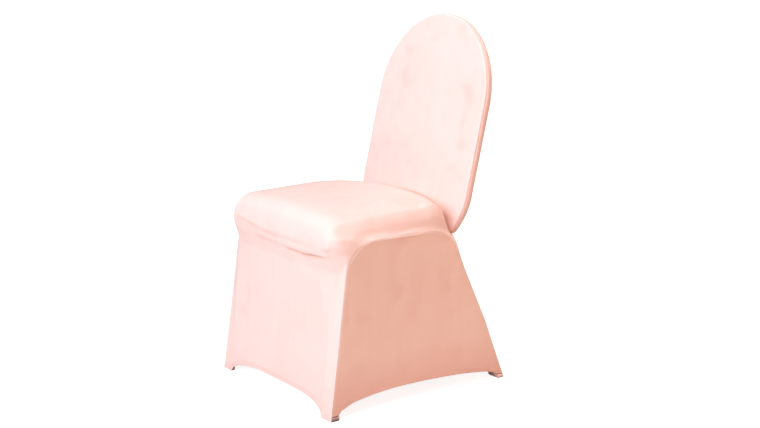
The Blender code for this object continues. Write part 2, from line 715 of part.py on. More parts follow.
def main():
    for thing in list(bpy.data.objects):
        bpy.data.objects.remove(thing, do_unlink=True)

    half = len(across) - 1
    back = inner_back_grid()
    seat = seat_grid(back[-1][half:])
    rear = rear_grid()
    right = side_grid()
    strip = strip_grid()

    pieces = {
        "seat_front_panel": Piece("seat_front_panel", seat, 1),
        "inner_back_panel": Piece("inner_back_panel", back, 1),
        "rear_panel": Piece("rear_panel", rear, -1),
        "edge_strip": Piece("edge_strip", strip, -1),
        "side_panel_right": Piece("side_panel_right", right, -1),
        "side_panel_left": Piece("side_panel_left", mirror(right), 1),
    }
    seat_piece = pieces["seat_front_panel"]
    back_piece = pieces["inner_back_panel"]
    rear_piece = pieces["rear_panel"]
    strip_piece = pieces["edge_strip"]
    last = 2 * half
    waist = len(WAIST_SHARES) - 1
    rail_count = len(RAIL_SHARES) - 1
    leg_count = len(front_shares) - 1
    outline_count = len(outline_steps)

    sew(seat_piece, edge_columns(0, 0, last + 1), back_piece, edge_columns(outline_count - 1, 0, last + 1))
    for column, side in ((last, "right"), (0, "left")):
        panel = pieces["side_panel_" + side]
        corner = waist + rail_count
        sew(seat_piece, edge_rows(column, waist, corner + 1),
            panel, edge_columns(leg_count - 1, rail_count, -1, -1))
        sew(seat_piece, edge_rows(column, corner, corner + leg_count),
            panel, edge_rows(0, leg_count - 1, -1, -1))
        sew(seat_piece, edge_rows(column, 1, waist + 1),
            rear_piece, edge_rows(column, outline_count, outline_count + waist))
        sew(rear_piece, edge_rows(column, outline_count + waist - 1, outline_count + waist + leg_count - 1),
            panel, edge_rows(rail_count, leg_count - 1, -1, -1))
        strip_rows = (np.arange(outline_count - 1, -1, -1) if side == "right"
                      else np.arange(outline_count, 2 * outline_count))
        strip_front = (strip_rows, np.zeros(outline_count, int))
        strip_rear = (strip_rows, np.full(outline_count, 2))
        sew(back_piece, edge_rows(column, 0, outline_count), strip_piece, strip_front)
        sew(rear_piece, edge_rows(column, 0, outline_count), strip_piece, strip_rear)

    for piece, row in ((seat_piece, -1), (rear_piece, -1), (pieces["side_panel_right"], 0),
                       (pieces["side_panel_left"], 0)):
        piece.level_hem(row)

    seat_piece.settle([(0, 0), (0, last)])
    back_piece.settle([(outline_count - 1, 0), (outline_count - 1, last)])
    rear_piece.settle()
    strip_piece.settle()
    strip_piece.shorten(STRIP_SHORT)
    pieces["side_panel_right"].settle([(leg_count - 1, rail_count)])
    pieces["side_panel_left"].settle([(leg_count - 1, rail_count)])

    back_piece.straighten(0)
    rear_piece.straighten(0)

    for piece in pieces.values():
        piece.build()
    for place in ("front", "rear"):
        for side in ("right", "left"):
            foot_pocket(place, side)


main()
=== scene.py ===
# Looks of the stretch chair cover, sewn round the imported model. Metres, +Z up, the seat faces -Y.
from itertools import product
import math

import bmesh
import bpy
import numpy as np
from mathutils import Matrix, Vector


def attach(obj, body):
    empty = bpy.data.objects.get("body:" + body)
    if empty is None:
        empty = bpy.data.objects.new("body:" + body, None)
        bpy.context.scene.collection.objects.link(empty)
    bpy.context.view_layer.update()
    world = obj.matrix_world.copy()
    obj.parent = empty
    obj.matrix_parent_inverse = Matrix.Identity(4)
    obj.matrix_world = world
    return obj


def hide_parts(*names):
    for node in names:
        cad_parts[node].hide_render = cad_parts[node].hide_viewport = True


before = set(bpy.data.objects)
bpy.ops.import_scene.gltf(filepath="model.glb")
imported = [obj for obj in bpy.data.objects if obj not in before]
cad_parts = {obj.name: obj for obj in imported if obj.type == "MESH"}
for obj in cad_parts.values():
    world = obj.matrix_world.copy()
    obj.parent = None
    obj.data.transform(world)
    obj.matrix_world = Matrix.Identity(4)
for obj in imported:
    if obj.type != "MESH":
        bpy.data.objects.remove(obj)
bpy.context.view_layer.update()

scene = bpy.context.scene

# Cloth and fineness shared by all panels
cloth = {
    "thickness": 0.0012,
    "seamGap": 0.00006,      # each panel stops this short of its seam line
    "seamDip": 0.0007,       # the cloth dips into a seam
    "seamDipWidth": 0.0014,
    "seamRidge": 0.00055,    # and rides up over the allowance beside it
    "seamRidgeAt": 0.0042,
    "seamRidgeWidth": 0.0021,
    "seamEase": 0.006,       # folds fade out this close to a seam
    "mitreLimit": 0.55,
    "hemDepth": 0.010,       # the turned hem
    "hemStep": 0.00045,      # how far its double cloth stands proud
    "hemSoftness": 0.0005,
    "hemGroove": 0.0008,     # pulled in along its stitches
    "hemGrooveWidth": 0.0011,
    "hemLift": 0.0011,       # half the thickness of the folded edge
    "hemEase": 0.008,
    "uneven": 0.00035,       # slow unevenness of the stretched cloth
    "waves": 14,
    "waveRate": (40, 130),
    # the width of the seam mask, along which the cloth is painted with a highlight (with shade on the inner
    # back and the strip)
    "seamMask": 0.0022,
    # the fold's tint is painted shade in its trough
    "foldShadeMask": (0.00025, 0.0014),   # depth where a fold's tint starts, and the way from there to full
}

# The back: a reclined pad with a domed top, measured along its slope
back = {
    "middleY": 0.02144, "y": 0.1605, "level": 0.4, "recline": math.radians(13),
    "half": 0.2098, "top": 0.5327, "domeRise": 0.2208, "domeStart": math.radians(88),
    "corner": 0.09, "foot": -0.012, "footHalf": 0.1755, "cornerPower": 2.2,
    "frontEdge": 0.0045, "frontEdgeShare": 0.026, "frontCrown": 0.005,
    "stripWidth": 0.0135, "stripEnd": 0.004, "stripTaper": 2.2, "stripBulge": 0.0006,
    "rearEdge": 0.0045, "rearCrown": 0.005,
    "junction": 0.0636,      # where the seat's cloth starts, up the middle of the inner back
    "rearFoot": 0.004,
}

toMiddle = np.array([0, back["middleY"], 0])   # the tables' y starts this far in front of the frame's

# The legs and the seat rail: corners of the line x, y, z and the radius there
legLine = (
    ("front foot", 0.242, -0.258, 0, 0),
    ("front top", 0.235, -0.202, 0.418, 0.088),
    ("rear top", 0.218, 0.112, 0.415, 0.085),
    ("rear knee", 0.238, 0.229, 0.16, 0.3),
    ("rear foot", 0.248, 0.29, 0, 0),
)
legs = {
    "waistZ": 0.392, "waistFall": 0.1, "sideWaist": 0.004, "frontWaist": 0.003,
    "soleLip": 0.012, "straight": 0.27, "rearPull": 0.289,
    "wrapTop": 6, "wrapHem": 2.5,
    "arcPoints": 33, "easing": 900,
}

# Hems: start, peak and end along them, tail and arch height, and the powers of both halves
hems = {
    "front": (-0.2035, -0.02, 0.2035, 0, 0.039, 2.6, 0.5, 4.5, 0.5),
    "rear": (-0.208, 0, 0.208, 0, 0.04, 3, 0.5, 3, 0.5),
    "side": (-0.232, -0.06, 0.262, 0.012, 0.045, 1.6, 0.38, 1.7, 0.5),
}

# Seat sections from back to front: seam count, middle y and z, then shoulder, side and ledge x, y, z
seatSections = (
    ("rear roll", 0.5, 0.142, 0.47, 0.167, 0.132, 0.45, 0.185, 0.127, 0.429, 0.195, 0.129, 0.407),
    ("seat rear", 1, 0.1, 0.486, 0.181, 0.092, 0.47, 0.2, 0.092, 0.445, 0.207, 0.097, 0.416),
    ("middle", 1.5, -0.01, 0.495, 0.19, -0.01, 0.4775, 0.2095, -0.01, 0.45, 0.215, -0.008, 0.432),
    ("front", 2, -0.14, 0.49, 0.192, -0.137, 0.475, 0.2125, -0.131, 0.447, 0.219, -0.128, 0.431),
    ("nose top", 2.055, -0.208, 0.48, 0.194, -0.202, 0.471, 0.2135, -0.19, 0.449, 0.222, -0.1715, 0.43),
    ("nose", 2.11, -0.2395, 0.451, 0.197, -0.2355, 0.448, 0.219, -0.2215, 0.437, 0.2275, -0.197, 0.424),
    ("crease", 2.16, -0.2485, 0.412, 0.2, -0.246, 0.413, 0.218, -0.231, 0.4125, 0.2285, -0.2135, 0.4075),
    ("band", 2.2, -0.2465, 0.391, 0.2, -0.2425, 0.392, 0.2185, -0.227, 0.393, 0.229, -0.212, 0.39),
    ("tuck", 2.235, -0.2418, 0.3705, 0.2, -0.2355, 0.3725, 0.2195, -0.223, 0.3735, 0.2295, -0.2115, 0.372),
    ("skirt top", 2.27, -0.2375, 0.349, 0.2, -0.23, 0.35, 0.2195, -0.2185, 0.349, 0.23, -0.214, 0.346),
)
seatKeys = (0, 0.30, 0.58, 0.82, 0.91, 0.96, 1)
crownPower = 2.4

# How finely the panels are sampled

def stepped(start, *runs):
    # Shares from the start to the end of each run, in so many steps
    parts = [[start]]
    for end, count in runs:
        parts.append(np.linspace(start, end, count + 1)[1:])
        start = end
    return np.concatenate(parts)


across = stepped(0, (0.80, 32), (0.965, 20), (1, 8))
waistShares = stepped(0, (1, 8))
railShares = stepped(0, (0.02, 4), (1, 75))
outlineSteps = stepped(0, (1, 70), (2, 33), (3, 26))
lipRows = 12     # rows of a leg below the turned-up sole
stripColumns = 8


def smoothCurve(keys, values, at):
    # Values on a smooth curve through the keys that never swings past them
    keys, values, at = (np.asarray(numbers, float) for numbers in (keys, values, at))
    shape = (-1,) + (1,) * (values.ndim - 1)
    step = np.diff(keys).reshape(shape)
    slope = np.diff(values, axis=0) / step
    tangent = np.zeros_like(values)
    product = slope[:-1] * slope[1:]
    total = slope[:-1] + slope[1:]
    total = np.where(np.abs(total) < 1e-12, 1e-12, total)
    tangent[1:-1] = np.where(product > 0, 2 * product / total, 0)
    tangent[0], tangent[-1] = slope[0], slope[-1]
    index = np.clip(np.searchsorted(keys, at, side="right") - 1, 0, len(keys) - 2)
    t = ((at - keys[index]) / (keys[index + 1] - keys[index])).reshape(shape)
    width = step[index]
    start, end = values[index], values[index + 1]
    return (start * (1 + 2 * t) * (1 - t) ** 2 + end * t * t * (3 - 2 * t)
            + tangent[index] * width * t * (1 - t) ** 2 - tangent[index + 1] * width * t * t * (1 - t))


def roundedLine(corners):
    # Straight runs joined by arcs of the stated radii
    places = [np.array(row[1:4], float) for row in corners]
    points = [places[0]]
    for before, here, after, row in zip(places, places[1:], places[2:], corners[1:]):
        radius = row[4]
        behind, ahead = unit(before - here), unit(after - here)
        half = math.acos(float(np.clip(behind @ ahead, -1, 1))) / 2
        centre = here + unit(behind + ahead) * radius / math.sin(half)
        start = here + behind * radius / math.tan(half)
        end = here + ahead * radius / math.tan(half)
        whole = math.pi - 2 * half
        for angle in np.linspace(0, whole, legs["arcPoints"]):
            spoke = math.sin(whole - angle) * (start - centre) + math.sin(angle) * (end - centre)
            points.append(centre + spoke / math.sin(whole))
    points.append(places[-1])
    return np.array(points)


def unit(vectors):
    return vectors / np.linalg.norm(vectors, axis=-1, keepdims=True)


def lengthsAlong(points, axis=0):
    steps = np.linalg.norm(np.diff(points, axis=axis), axis=-1)
    return np.insert(np.cumsum(steps, axis=axis), 0, 0, axis=axis)


def walkAlong(points, distances):
    travelled = lengthsAlong(points)
    return np.column_stack([np.interp(distances, travelled, points[:, i]) for i in range(3)])


def hemHeight(name, at):
    start, peak, end, tail, height, power1, root1, power2, root2 = hems[name]
    at = np.asarray(at, float)
    first = at < peak
    share = np.clip(np.where(first, (at - peak) / (start - peak), (at - peak) / (end - peak)), 0, 1)
    rise = np.where(first, (1 - share ** power1) ** root1, (1 - share ** power2) ** root2)
    return tail + (height - tail) * rise


def mirrored(points):
    return points * np.array([-1, 1, 1])


def bothSides(half):
    return np.concatenate([mirrored(half[:, :0:-1]), half], axis=1)


frameLine = roundedLine(legLine)
frameLength = lengthsAlong(frameLine)
frontArcEnd = frameLength[legs["arcPoints"]]
waistAt = next(length for point, length in zip(frameLine, frameLength)
               if point[1] > 0 and point[2] < legs["waistZ"])


def frontLeg(shares):
    return walkAlong(frameLine, frontArcEnd * (1 - np.asarray(shares, float)))


def rail(shares):
    return walkAlong(frameLine, waistAt + (frontArcEnd - waistAt) * np.asarray(shares, float))


def rearLeg(shares):
    return walkAlong(frameLine, waistAt + (frameLength[-1] - waistAt) * np.asarray(shares, float))


def legShares(line):
    # Fine rows round the corner and at the hem, and one row where the sole is turned up
    low = np.linspace(0.9, 1, 300)
    lip = float(np.interp(-legs["soleLip"], -line(low)[:, 2], low))
    return stepped(0, (0.27, 60), (0.90, 49), (0.945, 8), (lip, 16), (1, lipRows))


frontShares, rearShares = legShares(frontLeg), legShares(rearLeg)
upSlope = np.array([0, math.sin(back["recline"]), math.cos(back["recline"])])
offSlope = np.array([0, math.cos(back["recline"]), -math.sin(back["recline"])])
domeFrom = back["top"] - back["domeRise"]


def cornerHalf(slope):
    share = np.clip((back["corner"] - slope) / (back["corner"] - back["foot"]), 0, 1)
    return back["half"] - (back["half"] - back["footHalf"]) * share ** back["cornerPower"]


def outline(step):
    # Half width and slope length at a step: 0 dome top, 1 dome foot, 2 corner start, 3 waist
    angle = back["domeStart"] * (1 - min(step, 1))
    if step <= 1:
        return back["half"] * math.cos(angle), domeFrom + back["domeRise"] * math.sin(angle)
    if step <= 2:
        return back["half"], domeFrom + (back["corner"] - domeFrom) * (step - 1)
    slope = back["corner"] + (back["foot"] - back["corner"]) * (step - 2)
    return float(cornerHalf(slope)), slope


def padShare(x, slope):
    rise = np.clip((slope - domeFrom) / back["domeRise"], 0, 1)
    return np.clip(np.hypot(np.abs(x) / cornerHalf(slope), rise), 0, 1)


def edgeRound(share):
    inside = np.clip((share - (1 - back["frontEdgeShare"])) / back["frontEdgeShare"], 0, 1)
    return np.sqrt(1 - inside ** 2)


def stripWidth(step):
    taper = min(max((step - back["stripTaper"]) / (3 - back["stripTaper"]), 0), 1)
    return back["stripWidth"] + (back["stripEnd"] - back["stripWidth"]) * taper ** 2


def onBack(x, slope, depth):
    x, slope, depth = np.broadcast_arrays(np.asarray(x, float), slope, depth)
    sideways = x[..., None] * np.array([1, 0, 0])
    base = np.array([0, back["y"], back["level"]])
    return base + sideways + slope[..., None] * upSlope + depth[..., None] * offSlope


def backRows(foot, power, depthOf):
    rows = []
    for step in outlineSteps:
        half, edgeSlope = outline(step)
        lower = max(step - 1, 0) / 2
        middleSlope = edgeSlope if step <= 1 else domeFrom + (foot - domeFrom) * lower
        slope = middleSlope + (edgeSlope - middleSlope) * across ** power
        share = padShare(half * across, slope)
        share[-1] = 1
        rows.append(onBack(half * across, slope, depthOf(share, step)))
    return bothSides(np.array(rows))


def frontDepth(share, _step):
    return -(back["frontEdge"] * edgeRound(share) + back["frontCrown"] * (1 - share ** 2) * (share < 1))


def rearDepth(share, step):
    seam = stripWidth(step)
    crown = back["rearCrown"] * (1 - share ** 2) * (share < 1)
    return seam + (back["stripWidth"] + back["rearEdge"] - seam) * edgeRound(share) + crown


def waistLine(shares):
    half, slope = outline(3)
    start = onBack(half, slope, back["stripEnd"])
    shares = np.asarray(shares, float)[:, None]
    return start * (1 - shares) + rail([0])[0] * shares


def rearGrid():
    pad = backRows(back["rearFoot"], 3, rearDepth)
    top = pad[-1][len(across) - 1:]
    hemX = rearLeg([1])[0][0]
    edges = np.concatenate([waistLine(waistShares[1:]), rearLeg(rearShares[1:])])
    atWaist = legs["waistFall"]
    fall = np.concatenate([waistShares[1:] * atWaist, atWaist + (1 - atWaist) * rearShares[1:]])
    middleHem = np.array([0, legs["rearPull"], float(hemHeight("rear", 0))])
    rows = []
    for edge, share in zip(edges, fall):
        middle = top[0] * (1 - share) + middleHem * share
        blend = across ** (legs["wrapTop"] + (legs["wrapHem"] - legs["wrapTop"]) * share)
        row = middle + (edge - middle) * blend[:, None]
        row[:, 0] = edge[0] * across
        rows.append(row)
    grid = np.concatenate([pad, bothSides(np.array(rows))])
    first = len(outlineSteps) + len(waistShares) - 1
    share = np.arange(1, len(grid) - first + 1) / (len(grid) - first)
    along = (fall[len(waistShares) - 1:] - atWaist) / (1 - atWaist)
    shift = hemHeight("rear", grid[-1][:, 0]) - grid[-1][:, 2]
    shift = np.where(np.abs(grid[-1][:, 0]) > hemX * 0.999, 0, shift)
    grid[first:, :, 2] += shift * along[:, None] ** 2
    return grid


def seatEdge(seams):
    # 0 to 1 along the waist, 1 to 2 along the rail, 2 to 3 down the front leg
    parts = [0 if seam <= 1 else 1 if seam <= 2 else 2 for seam in seams]
    return np.array([(waistLine, rail, frontLeg)[part]([seam - part])[0] for part, seam in zip(parts, seams)])


def seatGrid(junction):
    sections = []
    for _, seam, midY, midZ, *rest in seatSections:
        shoulder, side, ledge = np.array(rest, float).reshape(3, 3)
        middle = np.array([0, midY, midZ])
        points = []
        for share in np.array(seatKeys[:3]) / seatKeys[3]:
            points.append(middle + (shoulder - middle) * [share, share ** crownPower, share ** crownPower])
        sections.append(np.array(points + [shoulder, side, ledge, seatEdge([seam])[0]]))
    sectionAt = np.array([0] + [row[1] for row in seatSections])
    seams = np.concatenate([waistShares[:-1], 1 + railShares[:-1], 2 + frontShares])
    first = np.array([smoothCurve(across, junction, [key])[0] for key in seatKeys])
    net = np.concatenate([first[None], np.array(sections)])
    top = seams <= sectionAt[-1] + 1e-9
    columns = smoothCurve(sectionAt, net, seams[top])
    rows = [smoothCurve(seatKeys, column, across) for column in columns]
    rows[0] = junction.copy()
    full = bothSides(np.array(rows))
    foot = frontLeg([1])[0]
    straight = frontLeg([legs["straight"]])[0] - foot
    hem = full[-1].copy()
    hem[:, 0] *= foot[0] / full[-1, -1, 0]
    hem[:, 2] = hemHeight("front", hem[:, 0])
    hem[:, 1] = foot[1] + hem[:, 2] * straight[1] / straight[2]
    fromMiddle = np.abs(np.concatenate([across[:0:-1], across]))
    low = []
    for seam in seams[~top]:
        share = (seam - sectionAt[-1]) / (3 - sectionAt[-1])
        row = full[-1] * (1 - share) + hem * share
        row[:, 1] += legs["frontWaist"] * math.sin(math.pi * share) ** 2 * (1 - fromMiddle ** 3)
        low.append(row)
    grid = np.concatenate([full, np.array(low)])
    edge = seatEdge(seams)
    grid[1:, -1] = edge[1:]
    grid[1:, 0] = mirrored(edge[1:])
    return grid


def sideGrid():
    # Rows from the hem up to the rail, columns from front to rear
    shares = 1 - railShares[::-1]
    top = rail(1 - shares)
    front = frontLeg(frontShares[:-lipRows])[::-1]
    rear = rearLeg(rearShares[:-lipRows])[::-1]
    height = lengthsAlong(front) / lengthsAlong(front)[-1]
    start, end = front[0], rear[0]
    y = start[1] + (end[1] - start[1]) * shares
    hem = np.column_stack([start[0] + (end[0] - start[0]) * shares, y, hemHeight("side", y)])
    u, v = shares[None, :, None], height[:, None, None]
    grid = (front[:, None] * (1 - u) + rear[:, None] * u + hem[None] * (1 - v) + top[None] * v
            - start * (1 - u) * (1 - v) - end * u * (1 - v) - top[0] * (1 - u) * v - top[-1] * u * v)
    for _ in range(legs["easing"]):
        grid[1:-1, 1:-1] = (grid[:-2, 1:-1] + grid[2:, 1:-1] + grid[1:-1, :-2] + grid[1:-1, 2:]) / 4
    grid[:, 1:-1, 0] -= (legs["sideWaist"] * np.sin(math.pi * u) * (1 - v ** 2))[:, 1:-1, 0]
    return grid


def stripGrid():
    rows = []
    for step in outlineSteps[::-1]:
        half, slope = outline(step)
        before, after = outline(max(step - 0.02, 0)), outline(min(step + 0.02, 3))
        along = unit(np.array([after[0] - before[0], after[1] - before[1]]))
        row = []
        for share in np.linspace(0, 1, stripColumns + 1):
            bulge = back["stripBulge"] * 4 * share * (1 - share)
            row.append(onBack(half - along[1] * bulge, slope + along[0] * bulge, stripWidth(step) * share))
        rows.append(row)
    right = np.array(rows)
    return np.concatenate([right, mirrored(right[::-1])])


# From grids to closed sheets

def gridNormals(grid):
    crossed = np.cross(grid[1:, 1:] - grid[:-1, :-1], grid[:-1, 1:] - grid[1:, :-1])
    total = np.zeros_like(grid)
    for rows in (slice(None, -1), slice(1, None)):
        for columns in (slice(None, -1), slice(1, None)):
            total[rows, columns] += crossed
    return unit(total + 1e-15)


def bell(x):
    return np.exp(-x ** 2)


def pressFolds(grid, folds):
    # Soft troughs (-) and ridges (+), each along its own line, fading out at its ends
    shift = np.zeros(grid.shape[:2])
    for _, width, depth, *places in folds:
        places = np.array(places, float)
        nearest = np.full(grid.shape[:2], 1e9)
        share = np.zeros(grid.shape[:2])
        for i, (start, end) in enumerate(zip(places, places[1:])):
            run = end - start
            t = np.clip(((grid - start) @ run) / (run @ run), 0, 1)
            away = np.linalg.norm(grid - (start + t[..., None] * run), axis=2)
            closer = away < nearest
            nearest = np.where(closer, away, nearest)
            share = np.where(closer, (i + t) / (len(places) - 1), share)
        shift += depth * np.clip(4 * share * (1 - share), 0, 1) ** 0.7 * bell(nearest / width)
    return shift


def slowWaves(grid, seed, amount):
    # A slow unevenness from a few sine waves in fixed random directions
    rng = np.random.default_rng(seed)
    total = np.zeros(grid.shape[:2])
    for _ in range(cloth["waves"]):
        direction = unit(rng.normal(size=3)) * rng.uniform(*cloth["waveRate"])
        total += np.sin(grid @ direction + rng.uniform(0, 2 * math.pi)) / math.sqrt(cloth["waves"])
    return total * amount


class Sheet:
    # One panel: its outer face, what lies behind it and the distances from its edges

    def __init__(self, grid, facing, folds=(), hemRow=None, seed=1):
        self.facing = facing
        self.hemRow = hemRow
        self.hemAt = {"first row": 0, "last row": len(grid) - 1}.get(hemRow)
        self.hemInto = {"first row": 1, "last row": len(grid) - 2}.get(hemRow)
        normals = gridNormals(grid) * facing
        self.fromEdge = {
            "first row": lengthsAlong(grid, 0),
            "last row": lengthsAlong(grid[::-1], 0)[::-1],
            "first column": lengthsAlong(grid, 1),
            "last column": lengthsAlong(grid[:, ::-1], 1)[:, ::-1],
        }
        if hemRow:
            # the hem draws up by half of its own thickness, so that its round edge ends on the hem line
            low = self.fromEdge[hemRow]
            up = unit(grid[self.hemInto] - grid[self.hemAt])
            grid = grid + up * (cloth["hemLift"] * np.clip(1 - low / cloth["hemEase"], 0, 1))[..., None]
        near = np.min([away for edge, away in self.fromEdge.items() if edge != hemRow], axis=0)
        shift = pressFolds(grid, folds) + slowWaves(grid, seed, cloth["uneven"])
        shift *= 1 - bell(near / cloth["seamEase"])
        shift -= cloth["seamDip"] * bell(near / cloth["seamDipWidth"])
        shift += cloth["seamRidge"] * bell((near - cloth["seamRidgeAt"]) / cloth["seamRidgeWidth"])
        self.double = np.zeros(grid.shape[:2])
        if hemRow:
            past = low - cloth["hemDepth"]
            self.double = 1 / (1 + np.exp(np.clip(past / cloth["hemSoftness"], -40, 40)))
            shift += cloth["hemStep"] * self.double
            shift -= cloth["hemGroove"] * bell(past / cloth["hemGrooveWidth"])
        self.seamNear = near
        shift[near == 0] = 0
        self.flat = grid
        self.outer = grid + normals * shift[..., None]
        self.normal = gridNormals(self.outer) * facing
        self.normal[near == 0] = normals[near == 0]
        self.inner = self.outer - self.normal * (cloth["thickness"] * (1 + self.double))[..., None]
        self.fold = shift
        self.moves = {}

    def atHem(self, distance, lift):
        # A line on the outer face at a distance from the hem
        turn = -1 if self.hemAt else 1
        away = self.fromEdge[self.hemRow][::turn]
        line = []
        for c in range(2, away.shape[1] - 2):
            place, normal = (
                np.array([np.interp(distance, away[:, c], values[::turn, c, i]) for i in range(3)])
                for values in (self.outer, self.normal))
            line.append(place + normal * lift)
        return np.array(line)

    def inward(self, edge):
        rows, columns = edge
        height, width = self.outer.shape[:2]
        side = ((columns == 0) | (columns == width - 1)).all()
        stepRow = 0 if side else np.where(rows == 0, 1, -1)
        stepColumn = np.where(columns == 0, 1, -1) if side else 0
        here = self.flat[rows, columns]
        along = unit(np.gradient(here, axis=0))
        into = self.flat[rows + stepRow, columns + stepColumn] - here
        return unit(into - (into * along).sum(axis=1, keepdims=True) * along)

    def settle(self, straightTop=False):
        for (row, column), moves in self.moves.items():
            for layer, shifts in zip((self.outer, self.inner), zip(*moves)):
                layer[row, column] = self.flat[row, column] + sum(shifts) / len(moves)
        if straightTop:
            share = np.linspace(0, 1, self.outer.shape[1])[:, None]
            for layer in (self.outer, self.inner):
                layer[0] = layer[0, 0] * (1 - share) + layer[0, -1] * share


def sew(first, firstEdge, second, secondEdge):
    # Two panels meet on their seam line, which lies a little below both
    n1, n2 = first.normal[firstEdge], second.normal[secondEdge]
    apart = unit(first.inward(firstEdge) - second.inward(secondEdge))
    closeness = np.clip(1 + (n1 * n2).sum(axis=1, keepdims=True), cloth["mitreLimit"], 2)
    down = -(n1 + n2) / closeness
    dip = down * cloth["seamDip"]
    for sheet, edge, away in ((first, firstEdge, apart), (second, secondEdge, -apart)):
        outer = dip + away * cloth["seamGap"]
        inner = outer + down * cloth["thickness"]
        for row, column, a, b in zip(*edge, outer, inner):
            sheet.moves.setdefault((int(row), int(column)), []).append((a, b))


def edgeRows(column, start, stop):
    rows = np.arange(start, stop, 1 if start < stop else -1)
    return rows, np.full(len(rows), column)


def edgeColumns(row, start, stop):
    columns = np.arange(start, stop, 1 if start < stop else -1)
    return np.full(len(columns), row), columns


def linked(name, data):
    thing = bpy.data.objects.new(name, data)
    scene.collection.objects.link(thing)
    return thing


def sheetObject(sheet, name):
    rows, columns = sheet.outer.shape[:2]
    count = rows * columns
    layers = [sheet.outer.reshape(-1, 3), sheet.inner.reshape(-1, 3)]
    index = np.arange(count).reshape(rows, columns)
    quads = np.stack([index[:-1, :-1], index[1:, :-1], index[1:, 1:], index[:-1, 1:]], axis=-1).reshape(-1, 4)
    faces = quads.tolist() + (quads[:, ::-1] + count).tolist()
    hemAt = sheet.hemAt
    roll = []
    if sheet.hemRow:
        # the folded edge of the hem is round
        out = unit(sheet.outer[hemAt] - sheet.outer[sheet.hemInto])
        half = (sheet.outer[hemAt] - sheet.inner[hemAt]) / 2
        middle = (sheet.outer[hemAt] + sheet.inner[hemAt]) / 2
        for k, angle in enumerate(np.radians([45, 90, 135])):
            layers.append(middle + half * math.cos(angle) + out * cloth["hemLift"] * math.sin(angle))
            roll.append(2 * count + k * columns)

    def chain(place):
        row, column = place
        between = [start + column for start in roll] if row == hemAt else []
        return [row * columns + column] + between + [count + row * columns + column]

    rim = [(r, 0) for r in range(rows)]
    rim += [(rows - 1, c) for c in range(1, columns)]
    rim += [(r, columns - 1) for r in range(rows - 2, -1, -1)]
    rim += [(0, c) for c in range(columns - 2, 0, -1)]
    for here, after in zip(map(chain, rim), map(chain, rim[1:] + rim[:1])):
        if len(here) == len(after):
            faces += [(after[i], here[i], here[i + 1], after[i + 1]) for i in range(len(here) - 1)]
        else:
            faces.append(after[:1] + here + after[:0:-1])
    if sheet.facing < 0:
        faces = [face[::-1] for face in faces]
    mesh = bpy.data.meshes.new(name)
    places = np.concatenate(layers) - toMiddle
    mesh.from_pydata(places.tolist(), [], faces)
    addMaps(mesh, sheet)
    mesh.shade_smooth()
    mesh.set_sharp_from_angle(angle=math.radians(60))
    return linked(name, mesh)


def addMaps(mesh, sheet):
    # The weave's own coordinates in metres, and masks of what lies near a seam, in a hem or in a fold
    rows, columns = sheet.outer.shape[:2]
    u = lengthsAlong(sheet.flat, 1)
    u -= u[:, columns // 2][:, None]
    v = sheet.fromEdge["first row"][:, columns // 2][:, None] + np.zeros((rows, columns))

    def layered(values):
        parts = [values.reshape(-1)] * 2
        if sheet.hemRow:
            parts += [values[sheet.hemAt]] * 3
        return np.concatenate(parts).astype(np.float32)

    weave = mesh.uv_layers.new(name="weave")
    corner = np.zeros(len(mesh.loops), np.int32)
    mesh.loops.foreach_get("vertex_index", corner)
    places = np.stack([layered(u)[corner], layered(v)[corner]], axis=1)
    weave.data.foreach_set("uv", places.astype(np.float32).ravel())
    # the seam mask carries a painted highlight along the seams, or painted shade on the inner back and the
    # strip
    seam = bell(sheet.seamNear / cloth["seamMask"])
    foldFrom, foldTo = cloth["foldShadeMask"]
    # the fold mask carries painted shade into the troughs
    fold = np.clip((-sheet.fold - foldFrom) / foldTo, 0, 1) * (1 - seam)
    for name, values in (("seam", seam), ("hem", sheet.double), ("fold", fold)):
        mesh.attributes.new(name, "FLOAT", "POINT").data.foreach_set("value", layered(values))


# The right edge of the cushion has been sat on, so its crown falls away sooner there
sag = {
    "depth": 0.0075, "at": 0.186, "width": 0.023, "from": -0.195, "to": 0.085, "fade": 0.045,
    "low": 0.434, "rise": 0.022,
    "cornerDepth": 0.0115, "cornerAt": (0.204, -0.203), "cornerWidth": (0.026, 0.036), "cornerLow": 0.424,
}


def smoothStep(x):
    x = np.clip(x, 0, 1)
    return x * x * (3 - 2 * x)


def sagged(grid):
    x, y, z = grid[..., 0], grid[..., 1], grid[..., 2]
    amount = bell((x - sag["at"]) / sag["width"]) * smoothStep((z - sag["low"]) / sag["rise"])
    amount *= smoothStep((y - sag["from"]) / sag["fade"]) * smoothStep((sag["to"] - y) / sag["fade"])
    (cornerX, cornerY), (wideX, wideY) = sag["cornerAt"], sag["cornerWidth"]
    corner = bell((x - cornerX) / wideX) * bell((y - cornerY) / wideY)
    corner *= smoothStep((z - sag["cornerLow"]) / sag["rise"])
    lower = grid.copy()
    lower[..., 2] -= sag["depth"] * amount + sag["cornerDepth"] * corner
    return lower
